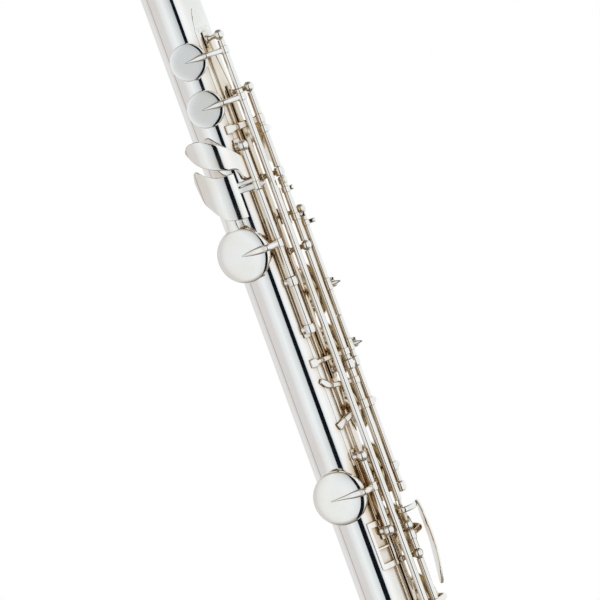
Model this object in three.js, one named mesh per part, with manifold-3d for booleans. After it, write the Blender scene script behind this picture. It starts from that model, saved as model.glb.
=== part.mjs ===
// Alto flute, silver-plated, keys up: the tube runs along +X from the crown to the foot, +Z is the side
// of the main key line, and -Y is the player's side, with the rods, the thumb keys and the trill cups.
// The origin is the centre of the crown's flat end. An angle round the tube starts at +Z and grows
// towards -Y. Every key is built shut over its tone hole, and a key that stands open at rest is then
// turned about its own rod.
import * as THREE from 'three';
import { mergeVertices } from 'three/addons/utils/BufferGeometryUtils.js';
import Module from 'manifold-3d';

const wasm = await Module();
wasm.setup();

// Tube
const bore_radius = 13;
const tube_wall = 0.45;
const tube_radius = bore_radius + tube_wall;
const fit_gap = 0.3;
const cut_overrun = 1;

// Tone holes, cups and pads
const large_hole_radius = 10.6;
const trill_hole_radius = 6.3;
const c_hole_radius = 4.4;
const chimney_wall = 0.55;
const rim_height = 1.9;
const rim_radius = tube_radius + rim_height;
const pad_overlap = 1.8;
const pad_thickness = 2.4;
const pad_show = 1;
const cup_wall = 0.5;
const cup_crown = 0.9;
const cup_round = 0.8;
const pad_seat = rim_radius + fit_gap;
const cup_roof = pad_seat + pad_thickness + fit_gap;
const cup_shoulder = cup_roof + cup_wall;
const cup_top = cup_shoulder + cup_crown;
const half_cup = large_hole_radius + pad_overlap + fit_gap + cup_wall;
const cup_width = 2 * half_cup;

// Steps from one station to the next, and the clearances between neighbouring cups
const head_run = 175;
const socket_depth = 40;
const socket_lap = 8;
const socket_to_trill = 37;
const trill_step = 23.4;
const c_step = 17.8;
const thumb_step = 53;
const b_flat_step = 27.9;
const a_clearance = 4.2;
const upper_g_clearance = 1.9;
const lower_g_clearance = 6.8;
const g_sharp_step = 4.4;
const f_sharp_clearance = 5.6;
const f_clearance = 10.2;
const e_clearance = 10.3;
const d_clearance = 13.1;
const foot_clearance = 1.3;
const tenon_length = 15.5;
const d_sharp_clearance = 1.4;
const foot_post_lead = 7.5;
const foot_post_step = 11;
const c_hub_length = 7;
const roller_lead = 2;
const roller_length = 9;
const c_sharp_clearance = 2.5;
const low_c_clearance = 21;
const last_post_clearance = 3.7;
const foot_tail = 33;

// Stations along the tube, counted from the crown's end face
const embouchure_x = 66;
const socket_start_x = embouchure_x + head_run;
const body_start_x = socket_start_x + socket_depth;
const socket_end_x = body_start_x + socket_lap;
const high_trill_x = socket_end_x + socket_to_trill;
const low_trill_x = high_trill_x + trill_step;
const c_hole_x = low_trill_x + c_step;
const thumb_hole_x = c_hole_x + thumb_step;
const b_flat_hole_x = thumb_hole_x + b_flat_step;
const a_hole_x = b_flat_hole_x + cup_width + a_clearance;
const upper_g_hole_x = a_hole_x + cup_width + upper_g_clearance;
const lower_g_hole_x = upper_g_hole_x + cup_width + lower_g_clearance;
const g_sharp_hole_x = lower_g_hole_x + g_sharp_step;
const f_sharp_hole_x = lower_g_hole_x + cup_width + f_sharp_clearance;
const f_hole_x = f_sharp_hole_x + cup_width + f_clearance;
const e_hole_x = f_hole_x + cup_width + e_clearance;
const d_hole_x = e_hole_x + cup_width + d_clearance;
const foot_start_x = d_hole_x + half_cup + foot_clearance;
const body_end_x = foot_start_x + tenon_length;
const d_sharp_hole_x = body_end_x + large_hole_radius + d_sharp_clearance;
const foot_first_post_x = d_sharp_hole_x - foot_post_lead;
const foot_second_post_x = d_sharp_hole_x + foot_post_step;
const c_hub_end_x = foot_second_post_x + c_hub_length;
const roller_start_x = c_hub_end_x + roller_lead;
const c_sharp_hole_x = roller_start_x + roller_length + half_cup + c_sharp_clearance;
const low_c_hole_x = c_sharp_hole_x + cup_width + low_c_clearance;
const foot_last_post_x = low_c_hole_x + half_cup + last_post_clearance;
const foot_end_x = foot_last_post_x + foot_tail;

// Angles round the tube
const thumb_cup_deg = 152;
const trill_cup_deg = 128;
const g_sharp_cup_deg = 140;
const foot_cup_deg = -50;

// Rod lines: the height over the tube and the angle round it
const left_line = { height: 11.35, deg: 45.2 };
const main_line = { height: 9.35, deg: 56 };
const trill_line = { height: 7.55, deg: 72.6 };
const g_sharp_line = { height: 6.05, deg: 86 };
const thumb_line = { height: 6.05, deg: 95 };
const foot_line = { height: 8.05, deg: 6 };

// Rods, hinge tubes and posts
const steel_radius = 0.8;
const hinge_play = 0.35;
const hinge_bore_radius = steel_radius + hinge_play;
const hinge_radius = 1.75;
const slim_hinge_radius = 1.6;
const post_radius = 2.6;
const post_length = 4.2;
const post_shoulder = 2;
const stem_radius = 1.25;
const play = 0.4;
const rib_thickness = 1.1;
const rib_width_deg = 13;
const main_rib_deg = 65;
const trill_rib_deg = 77.6;

// How far a key opens, in degrees
const open_deg = 8;

// Arms
const arm_width = 3.2;
const arm_thickness = 2;
const arm_tip_width = 0.5;
const arm_tip_thickness = 0.7;
const lug_thickness = 1.5;
const lug_width = 2.4;
const overlay_lift = 1.6;
const overlay_share = 0.85;

const tube_sides = 30;
const chimney_sides = 15;
const cup_sides = 16;
const small_cup_sides = 12;
const rod_sides = 8;
const rib_segments = 3;
const radian = Math.PI / 180;

// Turns a closed three.js geometry into a solid with its faces pointing out.
function solid(geometry) {
  const bare = geometry.index ? geometry.toNonIndexed() : geometry.clone();
  bare.deleteAttribute('normal');
  bare.deleteAttribute('uv');
  const merged = mergeVertices(bare, 1e-5);
  const points = merged.attributes.position.array;
  const triangles = Uint32Array.from(merged.index.array);
  const kept = [];
  let volume = 0;
  for (let i = 0; i < triangles.length; i += 3) {
    const [a, b, c] = [triangles[i], triangles[i + 1], triangles[i + 2]];
    if (a === b || b === c || a === c) continue;
    kept.push(a, b, c);
    const [p, q, r] = [a, b, c].map((k) => new THREE.Vector3().fromArray(points, 3 * k));
    volume += p.dot(q.cross(r));
  }
  if (volume < 0) {
    for (let i = 0; i < kept.length; i += 3) [kept[i], kept[i + 1]] = [kept[i + 1], kept[i]];
  }
  return new wasm.Manifold(new wasm.Mesh({
    numProp: 3,
    vertProperties: Float32Array.from(points),
    triVerts: Uint32Array.from(kept),
  }));
}

// Gives a solid back as a three.js geometry.
function geometryOf(body) {
  const mesh = body.getMesh();
  const geometry = new THREE.BufferGeometry();
  geometry.setAttribute('position', new THREE.BufferAttribute(Float32Array.from(mesh.vertProperties), 3));
  geometry.setIndex(Array.from(mesh.triVerts));
  geometry.computeVertexNormals();
  return geometry;
}

function join(parts) {
  return parts.reduce((whole, next) => whole.add(next));
}

// A frame on the tube: local +X runs along the flute and local +Z away from the tube's axis.
function around(x, deg) {
  return new THREE.Matrix4().makeTranslation(x, 0, 0)
    .multiply(new THREE.Matrix4().makeRotationX(deg * radian));
}

// The place of a rod line across the tube.
function lineCentre(line) {
  const radius = tube_radius + line.height;
  return { y: -radius * Math.sin(line.deg * radian), z: radius * Math.cos(line.deg * radian) };
}

// A point across the tube at a radius and an angle round it.
function polar(radius, deg) {
  return { y: -radius * Math.sin(deg * radian), z: radius * Math.cos(deg * radian) };
}

// A solid turned about a line along X, from a profile of [x, radius] points.
function turned(profile, centre, sides) {
  const outline = profile.map(([x, radius]) => new THREE.Vector2(radius, x));
  const geometry = new THREE.LatheGeometry(outline, sides);
  geometry.rotateZ(-Math.PI / 2);
  geometry.translate(0, centre.y, centre.z);
  return solid(geometry);
}

// A plain rod along X.
function rod(x0, x1, radius, centre, sides = rod_sides) {
  return turned([[x0, 0], [x0, radius], [x1, radius], [x1, 0]], centre, sides);
}

// A solid turned about local +Z of a frame, from a profile of [radius, z] points.
function stacked(profile, frame, sides) {
  const outline = profile.map(([radius, z]) => new THREE.Vector2(radius, z));
  const geometry = new THREE.LatheGeometry(outline, sides);
  geometry.rotateX(Math.PI / 2);
  geometry.applyMatrix4(frame);
  return solid(geometry);
}

// A straight round bar between two points.
function stem(from, to, radius, end_radius = radius) {
  const length = from.distanceTo(to);
  const geometry = new THREE.CylinderGeometry(end_radius, radius, length, rod_sides);
  const up = new THREE.Vector3(0, 1, 0);
  const direction = to.clone().sub(from).normalize();
  geometry.applyQuaternion(new THREE.Quaternion().setFromUnitVectors(up, direction));
  const middle = from.clone().add(to).multiplyScalar(0.5);
  geometry.translate(middle.x, middle.y, middle.z);
  return solid(geometry);
}

// A closed skin over a row of outlines that all have as many points.
function loft(sections) {
  const count = sections[0].length;
  const positions = [];
  const face = (...corners) => corners.forEach((corner) => positions.push(corner.x, corner.y, corner.z));
  for (let s = 0; s + 1 < sections.length; s += 1) {
    for (let k = 0; k < count; k += 1) {
      const next = (k + 1) % count;
      face(sections[s][k], sections[s][next], sections[s + 1][next]);
      face(sections[s][k], sections[s + 1][next], sections[s + 1][k]);
    }
  }
  const first = sections[0];
  const last = sections[sections.length - 1];
  for (let k = 1; k + 1 < count; k += 1) {
    face(first[0], first[k + 1], first[k]);
    face(last[0], last[k], last[k + 1]);
  }
  const geometry = new THREE.BufferGeometry();
  geometry.setAttribute('position', new THREE.Float32BufferAttribute(positions, 3));
  return solid(geometry);
}

// The cross section of an arm, as shares of its half width and half thickness.
const arm_section_shares = [[-1, -1], [1, -1], [1, 0.3], [0.4, 1], [-0.4, 1], [-1, 0.3]];

// A bar that follows a path across the flute: each stop has x, y, z, its width along X and its
// thickness across the path.
function bar(stops, section_shares = arm_section_shares) {
  const sections = stops.map((stop, k) => {
    const before = stops[Math.max(k - 1, 0)];
    const after = stops[Math.min(k + 1, stops.length - 1)];
    const along = new THREE.Vector2(after.y - before.y, after.z - before.z).normalize();
    const side = Math.sign(stops[0].y - stops[stops.length - 1].y) || 1;
    const lift = new THREE.Vector2(along.y, -along.x).multiplyScalar(side);
    return section_shares.map(([across, up]) => new THREE.Vector3(
      stop.x + across * stop.width / 2,
      stop.y + lift.x * up * stop.thickness / 2,
      stop.z + lift.y * up * stop.thickness / 2,
    ));
  });
  return loft(sections);
}

// Lays an outline drawn flat across the tube, with its depth along +X.
function alongTube() {
  return new THREE.Matrix4().makeBasis(
    new THREE.Vector3(0, 1, 0), new THREE.Vector3(0, 0, 1), new THREE.Vector3(1, 0, 0));
}

// A strip soldered along the tube, from x0 to x1.
function rib(x0, x1, deg, width_deg = rib_width_deg) {
  const inner = tube_radius + fit_gap;
  const outer = inner + rib_thickness;
  const low = (90 + deg - width_deg / 2) * radian;
  const high = (90 + deg + width_deg / 2) * radian;
  const outline = new THREE.Shape();
  outline.absarc(0, 0, outer, low, high, false);
  outline.absarc(0, 0, inner, high, low, true);
  const along = { depth: x1 - x0, bevelEnabled: false, curveSegments: rib_segments };
  const geometry = new THREE.ExtrudeGeometry(outline, along);
  geometry.applyMatrix4(alongTube());
  geometry.translate(x0, 0, 0);
  return solid(geometry);
}

// A post: a barrel-shaped head round the rod line on a stem that stands on a rib.
function post(x, line, rib_deg, length = post_length, radius = post_radius) {
  const centre = lineCentre(line);
  const foot = polar(tube_radius + fit_gap + rib_thickness / 2, rib_deg);
  const head = turned([
    [x - length / 2, 0],
    [x - length / 2, radius - post_shoulder / 3],
    [x - length / 4, radius],
    [x + length / 4, radius],
    [x + length / 2, radius - post_shoulder / 3],
    [x + length / 2, 0],
  ], centre, rod_sides);
  const pillar = stem(new THREE.Vector3(x, foot.y, foot.z), new THREE.Vector3(x, centre.y, centre.z),
    stem_radius * 1.5, stem_radius);
  return head.add(pillar);
}

// The hole that a post keeps round its rod.
function postBore(x, line, radius = hinge_bore_radius) {
  const reach = post_length / 2 + cut_overrun;
  return rod(x - reach, x + reach, radius, lineCentre(line));
}

// A cup over a tone hole, shut.
function cup(x, deg, hole_radius) {
  const sides = hole_radius < large_hole_radius ? small_cup_sides : cup_sides;
  const pad_radius = hole_radius + pad_overlap;
  const inside = pad_radius + fit_gap;
  const outside = inside + cup_wall;
  return stacked([
    [0, cup_roof],
    [inside, cup_roof],
    [inside, pad_seat + pad_show],
    [outside, pad_seat + pad_show],
    [outside, cup_shoulder - cup_round],
    [outside - cup_round, cup_shoulder],
    [outside / 2, cup_top - cup_crown / 4],
    [0, cup_top],
  ], around(x, deg), sides);
}

function cupRadius(hole_radius) {
  return hole_radius + pad_overlap + fit_gap + cup_wall;
}

function pad(x, deg, hole_radius) {
  const sides = hole_radius < large_hole_radius ? small_cup_sides : cup_sides;
  const radius = hole_radius + pad_overlap;
  return stacked([[0, pad_seat], [radius, pad_seat], [radius, pad_seat + pad_thickness],
    [0, pad_seat + pad_thickness]], around(x, deg), sides);
}

// The pointed arm that runs from the rod line over the cup to its middle.
function cupArm(x, deg, hole_radius, line, root_x = x) {
  const away = (line.deg - deg) * radian;
  const line_radius = tube_radius + line.height;
  const side = -Math.sign(Math.sin(away));
  const hinge = { y: -line_radius * Math.sin(away), z: line_radius * Math.cos(away) };
  const edge = cupRadius(hole_radius);
  const full = { width: arm_width, thickness: arm_thickness };
  const slim = { width: arm_width * 0.7, thickness: arm_thickness * 0.8 };
  const tip = { width: arm_tip_width, thickness: arm_tip_thickness };
  const stops = [
    { x: root_x, y: hinge.y, z: hinge.z, ...full },
    { x: root_x, y: side * (edge + 0.7 * arm_thickness), z: cup_shoulder - arm_thickness / 3, ...full },
    { x, y: side * (edge - 0.7 * arm_thickness), z: cup_shoulder + 0.4 * arm_thickness, ...full },
    { x, y: side * edge / 2, z: cup_top + 0.1 * arm_thickness, ...slim },
    { x, y: -side * arm_tip_width, z: cup_top + arm_tip_thickness / 4, ...tip },
  ];
  const turn = deg * radian;
  return bar(stops.map((stop) => ({
    ...stop,
    y: stop.y * Math.cos(turn) - stop.z * Math.sin(turn),
    z: stop.y * Math.sin(turn) + stop.z * Math.cos(turn),
  })));
}

// Turns a point across the tube about a rod line.
function turnedAbout(point, centre, degrees) {
  const [sine, cosine] = [Math.sin(degrees * radian), Math.cos(degrees * radian)];
  const [y, z] = [point.y - centre.y, point.z - centre.z];
  return { y: centre.y + y * cosine - z * sine, z: centre.z + y * sine + z * cosine };
}

// A lug that stands off a hinge tube, where one key reaches for its neighbour.
function lug(x, line, deg, length, width = lug_width, slant = 0) {
  const centre = lineCentre(line);
  const end = polar(length, deg);
  const tip = { x: x + slant, y: centre.y + end.y, z: centre.z + end.z };
  return bar([
    { x, ...centre, width, thickness: lug_thickness },
    { ...tip, width: width * 0.9, thickness: lug_thickness * 0.85 },
  ]);
}

// An arm that lies over the tube past a lug's tip. Each stop has a step along the tube, an angle and a
// width, drawn where it stands at rest and then turned to where its key is shut.
const overlay_radius = tube_radius + overlay_lift;
function overlay(x, stops, line, shut_turn) {
  return bar(stops.map(([step, deg, width]) => ({
    x: x + step,
    ...turnedAbout(polar(overlay_radius, deg), lineCentre(line), shut_turn),
    width,
    thickness: lug_thickness * overlay_share,
  })));
}

const flute = new THREE.Group();
const finishes = {
  silver: { color: 0xe6e6e2, roughness: 0.12, metalness: 1 },
  steel: { color: 0xc9c9cc, roughness: 0.2, metalness: 1 },
  pad: { color: 0xc99a3c, roughness: 0.75, metalness: 0 },
  cork: { color: 0xb98a5a, roughness: 0.9, metalness: 0 },
};

// Adds a mesh to a group, with its geometry counted from the group's own place.
function add(name, body, finish, group = flute) {
  const geometry = geometryOf(body);
  geometry.translate(-group.position.x, -group.position.y, -group.position.z);
  const mesh = new THREE.Mesh(geometry, new THREE.MeshStandardMaterial(finishes[finish]));
  mesh.name = name;
  group.add(mesh);
  return mesh;
}

// A group on a rod line, turned by how far its key stands open at rest.
function hinged(line, degrees) {
  const centre = lineCentre(line);
  const group = new THREE.Group();
  group.position.set(0, centre.y, centre.z);
  group.rotation.x = degrees * radian;
  flute.add(group);
  return group;
}

// The tube of one joint with its drawn tone holes.
function holedTube(outer, inner, holes) {
  const reach = rim_radius + cut_overrun;
  const chimneys = holes.map(([x, deg, radius]) => stacked(
    [[0, 0], [radius + chimney_wall, 0], [radius + chimney_wall, rim_radius], [0, rim_radius]],
    around(x, deg), chimney_sides));
  const holesCut = holes.map(([x, deg, radius]) => stacked(
    [[0, 0], [radius, 0], [radius, reach], [0, reach]], around(x, deg), chimney_sides));
  return join([outer, ...chimneys]).subtract(inner).subtract(join(holesCut));
}

const axis = { y: 0, z: 0 };

// Head joint
const head_taper = 0.8;
const taper_run = 84;
const head_start_x = 20;
const head_end_x = body_start_x - fit_gap;
const taper_end_x = embouchure_x + taper_run;
const head_shell = turned([
  [head_start_x, 0],
  [head_start_x, tube_radius - head_taper],
  [taper_end_x, tube_radius],
  [head_end_x, tube_radius],
  [head_end_x, 0],
], axis, tube_sides);
const head_bore = turned([
  [head_start_x - cut_overrun, 0],
  [head_start_x - cut_overrun, bore_radius - head_taper],
  [taper_end_x, bore_radius],
  [head_end_x + cut_overrun, bore_radius],
  [head_end_x + cut_overrun, 0],
], axis, tube_sides);

// An upright prism with an oval outline, over the embouchure.
function oval(half_length, half_width, z0, z1, sides) {
  const geometry = new THREE.CylinderGeometry(1, 1, 1, sides);
  geometry.rotateX(Math.PI / 2);
  geometry.scale(half_length, half_width, z1 - z0);
  geometry.translate(embouchure_x, 0, (z0 + z1) / 2);
  return solid(geometry);
}
const embouchure_half_length = 6.4;
const embouchure_half_width = 5.4;
const riser_wall = 1.6;
const lip_half_length = 26;
const lip_half_width = 18;
const lip_plate_radius = 17.2;
const lip_plate_thickness = 1.1;
const lip_plate_length = 2 * lip_half_length + cut_overrun;
const blow_hole_top = lip_plate_radius * 2;
const blow_hole = oval(embouchure_half_length, embouchure_half_width, 0, blow_hole_top, chimney_sides);
add('head_tube', head_shell.subtract(head_bore).subtract(blow_hole), 'silver');
const lip_x0 = embouchure_x - lip_plate_length / 2;
const lip_x1 = embouchure_x + lip_plate_length / 2;
const lip_outside = lip_plate_radius + lip_plate_thickness;
const lip_shell = rod(lip_x0, lip_x1, lip_outside, axis, tube_sides)
  .subtract(rod(lip_x0 - cut_overrun, lip_x1 + cut_overrun, lip_plate_radius, axis, tube_sides));
const lip_outline = oval(lip_half_length, lip_half_width, 0, lip_outside + cut_overrun, tube_sides);
add('lip_plate', lip_shell.intersect(lip_outline).subtract(blow_hole), 'silver');
const riser_bottom = rod(lip_x0, lip_x1, tube_radius + fit_gap, axis, tube_sides);
const riser_top = rod(lip_x0, lip_x1, lip_plate_radius - fit_gap, axis, tube_sides);
const riser_half_length = embouchure_half_length + riser_wall;
const riser_half_width = embouchure_half_width + riser_wall;
add('riser', oval(riser_half_length, riser_half_width, 0, lip_outside, chimney_sides).intersect(riser_top)
  .subtract(riser_bottom).subtract(blow_hole), 'silver');

// Stopper and crown
const crown_lip = 0.5;
const crown_shoulder = 1.2;
const crown_waist = 0.8;
const crown_radius = tube_radius - head_taper + crown_lip;
const crown_flat_radius = 8.5;
const crown_length = head_start_x - fit_gap;
const crown_collar = 4;
const screw_radius = 2;
const screw_clearance = 0.4;
const crown_hole_start_x = 5;
const stopper_reach = 23;
const screw_lead = 1.5;
const stopper_face_x = embouchure_x - stopper_reach;
const stopper_plate = 1.4;
const cork_length = 17;
const head_bore_small = bore_radius - head_taper;
add('head_crown', turned([
  [0, 0],
  [0, crown_flat_radius],
  [crown_collar / 2, crown_radius - crown_shoulder],
  [crown_length - crown_collar, crown_radius - crown_waist],
  [crown_length - crown_collar, crown_radius],
  [crown_length, crown_radius],
  [crown_length, 0],
], axis, tube_sides).subtract(
  rod(crown_hole_start_x, crown_length + cut_overrun, screw_radius + screw_clearance, axis)), 'silver');
const cork_end_x = stopper_face_x - stopper_plate - fit_gap;
const cork_start_x = cork_end_x - cork_length;
const plate_radius = head_bore_small - fit_gap * 2;
const cork_bore = rod(cork_start_x - cut_overrun, cork_end_x + cut_overrun, screw_radius + fit_gap, axis);
add('stopper_cork', rod(cork_start_x, cork_end_x, head_bore_small - fit_gap, axis, chimney_sides)
  .subtract(cork_bore), 'cork');
add('stopper_screw', turned([
  [crown_hole_start_x + screw_lead, 0],
  [crown_hole_start_x + screw_lead, screw_radius],
  [cork_start_x - fit_gap - stopper_plate, screw_radius],
  [cork_start_x - fit_gap - stopper_plate, plate_radius * 0.8],
  [cork_start_x - fit_gap, plate_radius * 0.8],
  [cork_start_x - fit_gap, screw_radius],
  [stopper_face_x - stopper_plate, screw_radius],
  [stopper_face_x - stopper_plate, plate_radius],
  [stopper_face_x, plate_radius],
  [stopper_face_x, 0],
], axis, chimney_sides), 'silver');

// Body joint: the socket for the head and the holed tube
const socket_inner = tube_radius + fit_gap;
const socket_wall = 0.9;
const ring_height = 0.6;
const ring_length = 3;
const socket_outer = socket_inner + socket_wall;
add('barrel_socket', turned([
  [socket_start_x, socket_inner],
  [socket_start_x, socket_outer + ring_height],
  [socket_start_x + ring_length, socket_outer + ring_height],
  [socket_start_x + ring_length, socket_outer],
  [socket_end_x - ring_length, socket_outer],
  [socket_end_x - ring_length, socket_outer + ring_height],
  [socket_end_x, socket_outer + ring_height],
  [socket_end_x, socket_inner],
  [socket_start_x, socket_inner],
], axis, tube_sides), 'silver');
const top_holes = [
  b_flat_hole_x, a_hole_x, upper_g_hole_x, lower_g_hole_x, f_sharp_hole_x, f_hole_x, e_hole_x, d_hole_x,
];
const body_holes = [
  ...top_holes.map((x) => [x, 0, large_hole_radius]),
  [high_trill_x, trill_cup_deg, trill_hole_radius],
  [low_trill_x, trill_cup_deg, trill_hole_radius],
  [c_hole_x, 0, c_hole_radius],
  [thumb_hole_x, thumb_cup_deg, large_hole_radius],
  [g_sharp_hole_x, g_sharp_cup_deg, large_hole_radius],
];
add('body_tube', holedTube(
  rod(body_start_x, body_end_x, tube_radius, axis, tube_sides),
  rod(body_start_x - cut_overrun, body_end_x + cut_overrun, bore_radius, axis, tube_sides),
  body_holes), 'silver');

// Posts along the body: how far each one stands from the hole or post that it serves
const trill_post_lead = 7.5;
const c_post_lead = 21.1;
const barrel_post_step = 21.45;
const bridge_post_step = 5.8;
const bridge_mid_step = 7.6;
const bridge_tail = 5.4;
const right_first_lead = 3.4;
const right_second_step = 11.2;
const f_end_step = 18.4;
const right_third_step = 15.5;
const trill_end_step = 10.5;
const right_last_step = 12;
const left_first_lead = 39;
const b_flat_end_step = 14.9;
const left_last_step = 10.4;
const thumb_first_step = 4;
const thumb_second_step = 19.3;
const thumb_last_step = 23.9;
const g_sharp_first_lead = 15.6;
const g_sharp_last_step = 22.4;
const rib_end = 4;

const trill_post_x = high_trill_x - trill_post_lead;
const c_post_x = c_hole_x - c_post_lead;
const barrel_post_x = c_hole_x + barrel_post_step;
const bridge_post_x = thumb_hole_x + bridge_post_step;
const bridge_mid_post_x = a_hole_x + bridge_mid_step;
const right_first_post_x = f_sharp_hole_x - right_first_lead;
const right_second_post_x = f_sharp_hole_x + right_second_step;
const f_end_x = f_hole_x + f_end_step;
const right_third_post_x = e_hole_x + right_third_step;
const trill_end_post_x = right_third_post_x + trill_end_step;
const right_last_post_x = d_hole_x + right_last_step;
const left_first_post_x = b_flat_hole_x - left_first_lead;
const b_flat_end_x = b_flat_hole_x + b_flat_end_step;
const left_last_post_x = lower_g_hole_x + left_last_step;
const bridge_end_x = left_last_post_x + bridge_tail;
const thumb_first_post_x = c_hole_x + thumb_first_step;
const thumb_second_post_x = thumb_hole_x + thumb_second_step;
const thumb_last_post_x = thumb_second_post_x + thumb_last_step;
const g_sharp_first_post_x = g_sharp_hole_x - g_sharp_first_lead;
const g_sharp_last_post_x = g_sharp_hole_x + g_sharp_last_step;
const left_post_deg = 46;

const upper_main_posts = [c_post_x, barrel_post_x, bridge_post_x, bridge_mid_post_x];
const right_posts = [right_first_post_x, right_second_post_x, right_third_post_x, right_last_post_x];
const thumb_posts = [thumb_first_post_x, thumb_second_post_x, thumb_last_post_x];
const g_sharp_posts = [g_sharp_first_post_x, g_sharp_last_post_x];

// A rib with its posts, all soldered into one piece.
function ribbed(x0, x1, deg, sets, holes = []) {
  const posts = sets.flatMap(({ line, places }) => places.map((x) => post(x, line, deg)));
  const bores = sets.flatMap(({ line, places }) => places.map((x) => postBore(x, line)));
  const clear_of_tube = rod(x0 - cut_overrun, x1 + cut_overrun, tube_radius + fit_gap, axis, tube_sides);
  const near = holes.filter(([x]) => x > x0 - rim_radius && x < x1 + rim_radius);
  const clear_of_holes = near.map(([x, hole_deg, radius]) => stacked(
    [[0, 0], [radius + chimney_wall + fit_gap, 0], [radius + chimney_wall + fit_gap, rim_radius + fit_gap],
      [0, rim_radius + fit_gap]], around(x, hole_deg), chimney_sides));
  const strip = near.length ? rib(x0, x1, deg).subtract(join(clear_of_holes)) : rib(x0, x1, deg);
  return join([strip, join(posts).subtract(clear_of_tube)]).subtract(join(bores));
}
const lineAt = (line, x) => new THREE.Vector3(x, lineCentre(line).y, lineCentre(line).z);
const double_head_radius = 2.2;
const double_head_start_x = bridge_mid_post_x - post_length / 2;
const double_head_end_x = bridge_mid_post_x + post_length / 2;
const double_head = rod(double_head_start_x, double_head_end_x, double_head_radius, lineCentre(left_line))
  .add(stem(lineAt(main_line, bridge_mid_post_x), lineAt(left_line, bridge_mid_post_x), stem_radius));
add('left_hand_rib', ribbed(c_post_x - rib_end, bridge_mid_post_x + rib_end, main_rib_deg, [
  { line: main_line, places: upper_main_posts },
], body_holes).add(double_head).subtract(postBore(bridge_mid_post_x, left_line))
  .subtract(postBore(bridge_mid_post_x, main_line)), 'silver');
add('left_first_post', ribbed(left_first_post_x - rib_end, left_first_post_x + rib_end, left_post_deg, [
  { line: left_line, places: [left_first_post_x] },
], body_holes), 'silver');
add('left_last_post', ribbed(left_last_post_x - rib_end, left_last_post_x + rib_end, left_post_deg, [
  { line: left_line, places: [left_last_post_x] },
], body_holes), 'silver');
add('right_hand_rib', ribbed(right_first_post_x - rib_end, right_last_post_x + rib_end / 2, main_rib_deg, [
  { line: main_line, places: right_posts },
  { line: trill_line, places: [trill_end_post_x] },
], body_holes), 'silver');
const thumb_sleeve = turned([
  [thumb_second_post_x, hinge_bore_radius],
  [thumb_second_post_x, slim_hinge_radius],
  [thumb_last_post_x, slim_hinge_radius],
  [thumb_last_post_x, hinge_bore_radius],
  [thumb_second_post_x, hinge_bore_radius],
], lineCentre(thumb_line), rod_sides);
add('thumb_rib', ribbed(thumb_first_post_x - rib_end, thumb_last_post_x + rib_end, thumb_line.deg, [
  { line: thumb_line, places: thumb_posts },
], body_holes).add(thumb_sleeve), 'silver');

// The saddle beside the lever of the G sharp key: a frame with two windows, one each side of a cross bar
const saddle_lead = 6;
const saddle_length = 24;
const saddle_border = 3;
const saddle_bar = 1.4;
const saddle_deg = 94;
const saddle_width_deg = 38;
const saddle_border_deg = 11;
const saddle_start_x = g_sharp_last_post_x - saddle_lead;
const saddle_end_x = saddle_start_x + saddle_length;
const saddle_middle_x = saddle_start_x + saddle_length / 2;
function saddleWindow(x0, x1) {
  const outline = new THREE.Shape();
  const [low, high] = [-1, 1].map((side) => (
    (90 + saddle_deg + side * (saddle_width_deg / 2 - saddle_border_deg / 2)) * radian));
  outline.absarc(0, 0, lip_outside, low, high, false);
  outline.lineTo(0, 0);
  const along = { depth: x1 - x0, bevelEnabled: false, curveSegments: rib_segments };
  const geometry = new THREE.ExtrudeGeometry(outline, along);
  geometry.applyMatrix4(alongTube());
  geometry.translate(x0, 0, 0);
  return solid(geometry);
}
const saddle = rib(saddle_start_x, saddle_end_x, saddle_deg, saddle_width_deg)
  .subtract(saddleWindow(saddle_start_x + saddle_border, saddle_middle_x - saddle_bar / 2))
  .subtract(saddleWindow(saddle_middle_x + saddle_bar / 2, saddle_end_x - saddle_border));
add('g_sharp_rib', ribbed(g_sharp_first_post_x - rib_end, g_sharp_last_post_x + rib_end, g_sharp_line.deg, [
  { line: g_sharp_line, places: g_sharp_posts },
], body_holes).add(saddle), 'silver');
add('trill_post', ribbed(trill_post_x - rib_end, trill_post_x + rib_end, trill_rib_deg, [
  { line: trill_line, places: [trill_post_x] },
], body_holes), 'silver');

// Steel rods that the keys turn on
function steel(name, x0, x1, line, group = flute) {
  add(name, rod(x0, x1, steel_radius, lineCentre(line)), 'steel', group);
}
const half_post = post_length / 2;
steel('c_key_steel', c_post_x - half_post, bridge_post_x - fit_gap / 2, main_line);
steel('left_hand_steel', left_first_post_x - half_post, left_last_post_x + half_post, left_line);
steel('right_hand_steel', right_first_post_x + fit_gap / 2, right_last_post_x + half_post, main_line);
steel('thumb_steel', thumb_first_post_x - half_post, thumb_last_post_x + half_post, thumb_line);
steel('g_sharp_steel', g_sharp_first_post_x - half_post, g_sharp_last_post_x + half_post, g_sharp_line);

// The end of a hinge tube that runs up to a post, and the one that meets another tube.
const post_reach = half_post + play;
const pair_gap = play / 2;

// One key: its hinge tube, cups, arms and extra pieces, with a bore for the steel, and its pads.
function key({ name, line, x0, x1, cups, extras = [], turn, radius = hinge_radius, root_x }) {
  const group = hinged(line, turn);
  const centre = lineCentre(line);
  const pieces = [rod(x0, x1, radius, centre)];
  cups.forEach(([x, deg, hole_radius]) => {
    pieces.push(cup(x, deg, hole_radius));
    pieces.push(cupArm(x, deg, hole_radius, line, root_x ?? x));
  });
  pieces.push(...extras);
  const hole = rod(x0 - cut_overrun, x1 + cut_overrun, hinge_bore_radius, centre);
  add(name, join(pieces).subtract(hole), 'silver', group);
  cups.forEach(([x, deg, hole_radius], k) => {
    const suffix = cups.length > 1 ? `_pad_${k + 1}` : '_pad';
    add(name.replace(/_key$/, '') + suffix, pad(x, deg, hole_radius), 'pad', group);
  });
  return group;
}

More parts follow.
